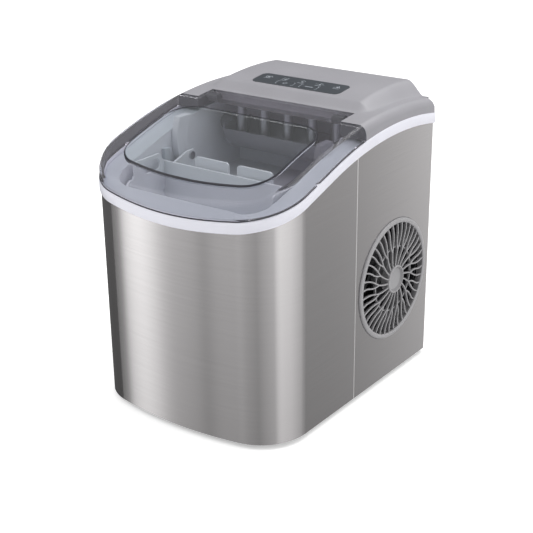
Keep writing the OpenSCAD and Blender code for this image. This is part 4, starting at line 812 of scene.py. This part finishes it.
def marks(name, body, lines, width=0.55):
    """Printed lines on the film, as thin raised strips that follow the hump."""
    verts, faces = [], []
    for pts in lines:
        n = len(pts)
        b = len(verts)
        left, right = both_sides(pts, width)
        for rise in (0.2, 0.36):
            verts += [(x, y, hump_z(y) + rise) for x, y in left + right]
        up = 2 * n
        for i in range(n - 1):
            l0, r0 = b + i, b + n + i
            l1, r1 = l0 + 1, r0 + 1
            faces += [[l0, l1, r1, r0], [l0 + up, r0 + up, r1 + up, l1 + up],
                      [l0, l0 + up, l1 + up, l1], [r0, r1, r1 + up, r0 + up]]
        for i in (0, n - 1):
            faces.append([b + i, b + n + i, b + 3 * n + i, b + 2 * n + i])
    o = temp(verts, faces)
    finish_shape(o)
    piece(o, name, body, (), [PRINT])


def turn_points(cx, cy, r, a0, a1, n=10):
    """Points of an arc, with angles in degrees from +X towards the rear."""
    turns = [math.radians(a0 + (a1 - a0) * i / n) for i in range(n + 1)]
    return [(cx + r * math.cos(a), cy + r * math.sin(a)) for a in turns]


# a line under each lamp and a plain sign round it, then the brackets beside the keys
print_lines = []
for i in range(-2, 3):
    cx, cy = i * LAMP_PITCH, LAMP_Y
    print_lines.append([(cx - 3.6, cy - 4.2), (cx + 3.6, cy - 4.2)])
    if i == -2:
        print_lines += [turn_points(cx, cy, 2.9, 100, 400), [(cx + 3.6, cy + 1.0), (cx + 5.2, cy - 1.0)]]
    elif i == -1:
        print_lines.append([(cx - 2.6, cy - 2.2), (cx - 2.6, cy + 2.4), (cx + 2.6, cy + 2.4),
                            (cx + 2.6, cy - 2.2)])
    elif i == 0:
        print_lines.append(turn_points(cx, cy, 2.6, 20, 160))
    elif i == 1:
        print_lines += [[(cx - 4.6, cy), (cx - 2.4, cy)], [(cx + 2.4, cy), (cx + 4.6, cy)],
                        [(cx - 1.4, cy + 2.8), (cx + 1.4, cy + 2.8)]]
    else:
        print_lines.append([(cx - 3.4, cy - 2.4), (cx, cy + 3.2), (cx + 3.4, cy - 2.4)])
for s in (-1, 1):
    for e in (-1, 1):
        cx = s * KEY_X + e * (KEY_W / 2 + 0.9)
        print_lines.append([(cx - e * 1.6, KEY_Y + 3.9), (cx, KEY_Y + 3.0), (cx, KEY_Y - 3.0),
                            (cx - e * 1.6, KEY_Y - 3.9)])
marks("film_print", "cabinet", print_lines)
marks("power_print", "power_button", [turn_points(-KEY_X, KEY_Y - 0.2, 2.1, -230, 50, 12),
                                      [(-KEY_X, KEY_Y + 0.4), (-KEY_X, KEY_Y + 2.6)]])
marks("select_print", "select_button", [[(KEY_X - 4.6, KEY_Y), (KEY_X + 4.6, KEY_Y)]], 1.0)


# ---- trim band: a rounded strip swept round the casing ----

FLANGE_T, FLANGE_IN = 4.0, 7.0                  # of the strip's foot, on the steel's edge
o, t = -TRIM_OUT, TRIM_T - TRIM_OUT
profile = [(0.1, 0.0), (o + 0.9, 0.0), (o + 0.3, 0.25), (o, 0.9), (o, TRIM_H - 1.6),
           (o + 0.2, TRIM_H - 0.8), (o + 0.6, TRIM_H - 0.25), (o + 1.2, TRIM_H), (t - 0.4, TRIM_H),
           (t, TRIM_H - 0.4), (t, FLANGE_T), (o + FLANGE_IN, FLANGE_T), (o + FLANGE_IN, 0.0)]
trim = band(profile, edge_half, edge_z)
finish_shape(trim)
piece(trim, "trim_ring", "cabinet", ["trim_band"], [TRIM])


# ---- rolled front edge of each side panel ----

SEAM_Y, SEAM_R, SEAM_IN = 139.4, 0.75, 0.55
for s, side in ((1, "right"), (-1, "left")):
    turns = [2 * math.pi * k / 16 for k in range(16)]
    ring = [(s * (HALF_W - SEAM_IN + SEAM_R * math.cos(a)), SEAM_Y + SEAM_R * math.sin(a)) for a in turns]
    lip = prism(ring, 0.5, edge_z(SEAM_Y) - 0.2)
    finish_shape(lip, angle=50)
    piece(lip, "panel_lip_" + side, "cabinet", (), [STEEL_EDGE])

# ---- grilles ----
# made in the right side's frame: x outwards, y and z from the grille's axis

VANE_JOIN, VANE_DEPTH, VANE_T, RING_BACK, RING_HW = 2.5, 2.7, 1.5, 2.2, 0.7
GRILLE_DEPTH, PHASE, VANES = 4.5, 3.75, 20
SPIGOT_R, AXIS_R = 58.4, 0.4


def swing_outer(r, joins):
    """Turn of an outer vane at a radius, in half pitches; joins: the kind that meets its neighbour."""
    u = max(0.0, (OPEN_R - r) / (OPEN_R - MID_R + VANE_JOIN))
    return 1.3 * u ** 2.6 - 0.42 * u if joins else -0.12 * math.sin(2 * math.pi * u) - 0.1 * u ** 6


def swing_inner(r):
    """Turn of an inner vane at a radius, in half pitches."""
    return 0.83 + (MID_R - VANE_JOIN - r) / (MID_R - VANE_JOIN - HUB_R)


def proud(r):
    """Height of the vanes' front over the steel: low at the ring, domed towards the hub."""
    u = (OPEN_R - r) / (OPEN_R - HUB_R)
    return 1.3 + 2.4 * (1 - (1 - u) ** 2)


def vane_rings(r0, r1, angles, turn):
    """Sections of one vane between two radii, round its front edge and back."""
    n, hw = 16, VANE_T / 2
    pts = []
    for i in range(n + 1):
        r = r0 + (r1 - r0) * i / n
        a = math.radians(angles(r) + turn)
        pts.append((r * math.cos(a), r * math.sin(a), r))
    rings = []
    for i, (u, v, r) in enumerate(pts):
        p, q = pts[max(i - 1, 0)], pts[min(i + 1, n)]
        du, dv = q[0] - p[0], q[1] - p[1]
        k = math.hypot(du, dv)
        su, sv = -dv / k, du / k
        h = proud(r)
        prof = [(-0.6 * hw, h - VANE_DEPTH), (-hw, h - 0.55), (-0.66 * hw, h - 0.12), (0.0, h),
                (0.66 * hw, h - 0.12), (hw, h - 0.55), (0.6 * hw, h - VANE_DEPTH)]
        rings.append([(HALF_W + z, u + su * w, v + sv * w) for w, z in prof])
    return rings


def tubes(paths):
    """A closed tube along each path of sections."""
    verts, faces = [], []
    for rings in paths:
        base = len(verts)
        n = len(rings[0])
        for ring in rings:
            verts += ring
        for k in range(len(rings) - 1):
            a, b = base + k * n, base + (k + 1) * n
            for i in range(n):
                j = (i + 1) % n
                faces.append([a + i, a + j, b + j, b + i])
        faces.append([base + i for i in range(n)][::-1])
        faces.append([base + (len(rings) - 1) * n + i for i in range(n)])
    return verts, faces


def revolve(profile, closed=True):
    """A ring or disc round the grille's axis from (radius, height) points."""
    n, m = 120, len(profile)
    verts, faces = [], []
    for i in range(n):
        a = 2 * math.pi * i / n
        verts += [(HALF_W + h, r * math.cos(a), r * math.sin(a)) for r, h in profile]
    for i in range(n):
        j = (i + 1) % n
        for k in range(m if closed else m - 1):
            l = (k + 1) % m
            faces.append([i * m + k, j * m + k, j * m + l, i * m + l])
    if not closed:
        faces.append([i * m for i in range(n)])
        faces.append([i * m + m - 1 for i in range(n)][::-1])
    return verts, faces


def grille_parts():
    """Vanes, outer ring, middle ring and dished hub."""
    half = 180 / VANES
    waist = MID_R - VANE_JOIN
    vanes = []
    for i in range(VANES):
        turn = PHASE + i * 2 * half
        vanes.append(vane_rings(waist, OPEN_R + 0.5, lambda r: half * swing_outer(r, True), turn))
        vanes.append(vane_rings(waist, OPEN_R + 0.5, lambda r: half * (1 + swing_outer(r, False)), turn))
        vanes.append(vane_rings(HUB_R - 1, waist + 0.5, lambda r: half * swing_inner(r), turn))
    outer = [(OPEN_R, -GRILLE_DEPTH), (SPIGOT_R, -GRILLE_DEPTH), (SPIGOT_R, 0), (GRILLE_R, 0),
             (GRILLE_R, 0.9), (GRILLE_R - 0.25, 1.5), (GRILLE_R - 0.8, 1.95), (GRILLE_R - 1.7, RING_OUT),
             (OPEN_R + 1.3, RING_OUT), (OPEN_R + 0.5, 2.0), (OPEN_R, 1.4)]
    h = proud(MID_R) - RING_BACK
    middle = [(MID_R - RING_HW, h - 2.2), (MID_R + RING_HW, h - 2.2), (MID_R + RING_HW, h - 0.3),
              (MID_R + RING_HW / 2, h), (MID_R - RING_HW / 2, h), (MID_R - RING_HW, h - 0.3)]
    # (in from the hub's rim, down from its top)
    dish = [(0.25, 0.3), (0.9, 0), (1.5, 0.2), (2.2, 1.4), (3.6, 2.3), (6, 2.8), (10, 3.0)]
    hub = [(AXIS_R, -GRILLE_DEPTH), (HUB_R, -GRILLE_DEPTH), (HUB_R, HUB_OUT - 0.9)]
    hub += [(HUB_R - i, HUB_OUT - d) for i, d in dish] + [(AXIS_R, HUB_OUT - 3.1)]
    return [tubes(vanes), revolve(outer), revolve(middle), revolve(hub, closed=False)]


def on_side(s, verts, faces):
    """The grille's mesh moved to the right (s = 1) or left (s = -1) side."""
    return temp([(s * x, y + FAN_Y, z + FAN_Z) for x, y, z in verts], faces)


def make_grille(name, node, s):
    verts, faces = [], []
    for v, f in grille_parts():
        b = len(verts)
        verts += v
        faces += [[b + i for i in face] for face in f]
    o = on_side(s, verts, faces)
    finish_shape(o, angle=35)
    piece(o, name, "cabinet", [node], [GRILLE, GRILLE_SIDE])
    # the sides of vanes, ring and dish take a darker grey: painted shade
    for p in o.data.polygons:
        x, y, z = in_mm(p.center)
        r = math.hypot(y - FAN_Y, z - FAN_Z)
        in_dish = r < HUB_R - 1.2 and x * s > HALF_W
        shaded = r < OPEN_R + 0.3 and abs(p.normal.x) < (0.9 if in_dish else 0.35)
        p.material_index = 1 if shaded else 0
    # a dark ring round the grille on the steel: painted shadow of the gap at the ring's seat
    r0, r1, low, high = GRILLE_R - 0.2, GRILLE_R + 0.5, -0.2, 0.06
    seat_shadow = on_side(s, *revolve([(r0, low), (r1, low), (r1, high), (r0, high)]))
    finish_shape(seat_shadow, angle=35)
    piece(seat_shadow, name + "_seat", "cabinet", (), [DARK_AND_SHADE])


make_grille("grille_right", "right_grille", 1)
make_grille("grille_left", "left_grille", -1)


# ---- moulded parts: the CAD solids with their edges rounded ----

def soften(node, name, body, width, mat):
    """A copy of the node's solid with its sharp edges rounded."""
    me = frame["nodes"][node].data.copy()
    o = bpy.data.objects.new(name, me)
    bpy.context.collection.objects.link(o)
    bm = bmesh.new()
    bm.from_mesh(me)
    bmesh.ops.remove_doubles(bm, verts=bm.verts, dist=1e-6)
    bmesh.ops.dissolve_limit(bm, angle_limit=math.radians(0.6), verts=bm.verts, edges=bm.edges)
    edges = [e for e in bm.edges if len(e.link_faces) == 2 and e.calc_face_angle(0) > math.radians(38)]
    bmesh.ops.bevel(bm, geom=edges, offset=width / 1000, offset_type="OFFSET", segments=3, profile=0.6,
                    affect="EDGES", clamp_overlap=True, harden_normals=False)
    bm.to_mesh(me)
    bm.free()
    for p in me.polygons:
        p.use_smooth = True
    me.set_sharp_from_angle(angle=math.radians(40))
    me.update()
    piece(o, name, body, [node], [mat])
    return o


tub = soften("inner_tub", "tub_shell", "cabinet", 0.8, TUB_PAINTED_SHADE)
tub.data.materials.append(TUB)                  # on the tub's upper rim
for p in tub.data.polygons:
    x, y, z = in_mm(p.center)
    p.material_index = 1 if p.normal.z > 0.6 and z > edge_z(y) - 5 else 0

soften("ice_basket", "basket_shell", "basket", 0.7, BASKET)
soften("ice_rake", "rake_blade", "rake", 0.5, BASKET)
cheeks = soften("guide_cheeks", "cheek_pair", "cabinet", 0.5, TUB_PAINTED_SHADE)
cheeks.data.materials.append(BAY_AND_SHADE)               # painted shade on the right cheek, which lies in shadow
for p in cheeks.data.polygons:
    p.material_index = 1 if p.center.x > 0 else 0
soften("water_tray", "tray_trough", "tray", 0.5, BAY_AND_SHADE)

# ---- studio: floor, world, lamps, camera ----

FLOOR_HW, FLOOR_LIFT = 12, 0.42
SKY, WALL_SCALE = 0.62, 0.7     # the scale keeps the ramp's colours under 1
LOW_Z, LOW_SHARE, MID_Z, MID_SHARE = -0.607, 0.6, -0.257, 1.3
# brightness of the studio's walls by direction, in degrees from the front (-Y) towards +X
WALLS = [(-180, 0.6), (-150, 0.10), (-110, 0.11), (-76, 0.12), (-67, 0.135), (-64.4, 0.47), (-62, 1.02),
         (-58, 1.24), (-54, 1.29), (-49, 1.09), (-44.4, 0.785), (-40, 0.63), (-33, 0.56), (-30.7, 0.53),
         (-27, 0.42), (-22, 0.54), (-6, 0.57), (8, 0.5), (30, 0.425), (44, 0.53), (65, 0.66), (73, 0.94),
         (80, 1.03), (103, 0.93), (121, 0.75), (131, 0.65), (142, 0.38), (146, 0.34), (148, 0.37),
         (149.6, 0.45), (150.8, 0.52), (152.5, 0.7)]


def studio():
    """The floor: the camera sees it lifted towards white, and mirrored rays pass through it."""
    w = FLOOR_HW
    me = raw_mesh("floor", [(-w, -w, 0), (w, -w, 0), (w, w, 0), (-w, w, 0)], [[0, 1, 2, 3]])
    floor = bpy.data.objects.new("studio_floor", me)
    bpy.context.collection.objects.link(floor)
    m, nt, out = material("floor_paper")
    d = add(nt, "ShaderNodeBsdfDiffuse", Color=(0.90, 0.90, 0.90, 1))
    e = add(nt, "ShaderNodeEmission", Color=(1, 1, 1, 1))
    lp = add(nt, "ShaderNodeLightPath")
    seen = add(nt, "ShaderNodeMath", operation="MULTIPLY")
    seen.inputs[1].default_value = FLOOR_LIFT
    nt.links.new(lp.outputs["Is Camera Ray"], seen.inputs[0])
    nt.links.new(seen.outputs[0], e.inputs["Strength"])
    both = add(nt, "ShaderNodeAddShader")
    nt.links.new(d.outputs[0], both.inputs[0])
    nt.links.new(e.outputs[0], both.inputs[1])
    # mirrored rays go on to the studio's walls
    tr = add(nt, "ShaderNodeBsdfTransparent")
    mx = add(nt, "ShaderNodeMixShader")
    nt.links.new(lp.outputs["Is Glossy Ray"], mx.inputs[0])
    nt.links.new(both.outputs[0], mx.inputs[1])
    nt.links.new(tr.outputs[0], mx.inputs[2])
    nt.links.new(mx.outputs[0], out.inputs[0])
    floor.data.materials.append(m)


def world():
    """Even light for all rays but mirrored ones, which see the walls, and the camera's, which see white."""
    w = bpy.data.worlds.new("studio")
    bpy.context.scene.world = w
    w.use_nodes = True
    nt = w.node_tree
    for n in list(nt.nodes):
        nt.nodes.remove(n)
    out = nt.nodes.new("ShaderNodeOutputWorld")
    co = add(nt, "ShaderNodeTexCoord")
    sep = add(nt, "ShaderNodeSeparateXYZ")
    nt.links.new(co.outputs["Generated"], sep.inputs[0])
    neg = add(nt, "ShaderNodeMath", operation="MULTIPLY")
    neg.inputs[1].default_value = -1.0
    nt.links.new(sep.outputs["Y"], neg.inputs[0])
    at = add(nt, "ShaderNodeMath", operation="ARCTAN2")
    nt.links.new(sep.outputs["X"], at.inputs[0])
    nt.links.new(neg.outputs[0], at.inputs[1])
    mr = add(nt, "ShaderNodeMapRange")
    mr.inputs["From Min"].default_value = -math.pi
    mr.inputs["From Max"].default_value = math.pi
    nt.links.new(at.outputs[0], mr.inputs["Value"])
    stops = [((a + 180) / 360, (v * WALL_SCALE,) * 3) for a, v in WALLS]
    walls = ramp(nt, mr.outputs["Result"], stops)
    bg_walls = add(nt, "ShaderNodeBackground")
    nt.links.new(walls, bg_walls.inputs["Color"])
    bg_soft = add(nt, "ShaderNodeBackground", Color=(1, 1, 1, 1), Strength=SKY)
    lp = add(nt, "ShaderNodeLightPath")
    mx = add(nt, "ShaderNodeMixShader")
    # the walls are darker towards the floor
    low = add(nt, "ShaderNodeMapRange")
    low.inputs["From Min"].default_value = LOW_Z
    low.inputs["From Max"].default_value = MID_Z
    low.inputs["To Min"].default_value = LOW_SHARE / WALL_SCALE
    low.inputs["To Max"].default_value = MID_SHARE / WALL_SCALE
    nt.links.new(sep.outputs["Z"], low.inputs["Value"])
    nt.links.new(low.outputs["Result"], bg_walls.inputs["Strength"])
    nt.links.new(lp.outputs["Is Glossy Ray"], mx.inputs[0])
    nt.links.new(bg_soft.outputs[0], mx.inputs[1])
    nt.links.new(bg_walls.outputs[0], mx.inputs[2])
    # beyond the floor's edge the backdrop is as white as the floor
    white = add(nt, "ShaderNodeBackground", Color=(1, 1, 1, 1), Strength=1.0)
    seen = add(nt, "ShaderNodeMixShader")
    nt.links.new(lp.outputs["Is Camera Ray"], seen.inputs[0])
    nt.links.new(mx.outputs[0], seen.inputs[1])
    nt.links.new(white.outputs[0], seen.inputs[2])
    nt.links.new(seen.outputs[0], out.inputs[0])


def lamp(name, where, size, power):
    """A white area lamp, turned towards the middle of the ice maker."""
    data = bpy.data.lights.new(name, "AREA")
    data.shape = "RECTANGLE"
    data.size, data.size_y = size
    data.energy = power
    data.color = (1, 1, 1)
    o = bpy.data.objects.new(name, data)
    bpy.context.collection.objects.link(o)
    o.location = where
    o.rotation_euler = (Vector((0, 0, 0.15)) - Vector(where)).to_track_quat("-Z", "Y").to_euler()


def camera():
    """The photo's view, fitted to points of the casing that can be told in the photo."""
    data = bpy.data.cameras.new("camera")
    data.lens = 78.77
    data.sensor_width = 36.0
    data.clip_start = 0.01
    o = bpy.data.objects.new("camera", data)
    bpy.context.collection.objects.link(o)
    right = Vector((0.80259243, 0.59642117, -0.01127733))
    up = Vector((-0.21858058, 0.31162463, 0.924723))
    back = Vector((0.55503867, -0.73971067, 0.38047366))
    m = Matrix((right, up, back)).transposed().to_4x4()
    m.translation = Vector((0.65121, -0.85937, 0.56208))
    o.matrix_world = m
    bpy.context.scene.camera = o


studio()
world()
lamp("key", (-0.9, -1.1, 1.6), (1.2, 1.2), 10)
lamp("top", (0.2, 0.7, 1.9), (1.4, 1.4), 19)
lamp("side", (1.5, 0.3, 0.9), (1.0, 1.0), 4.5)
camera()
bpy.context.scene.view_settings.view_transform = "Standard"
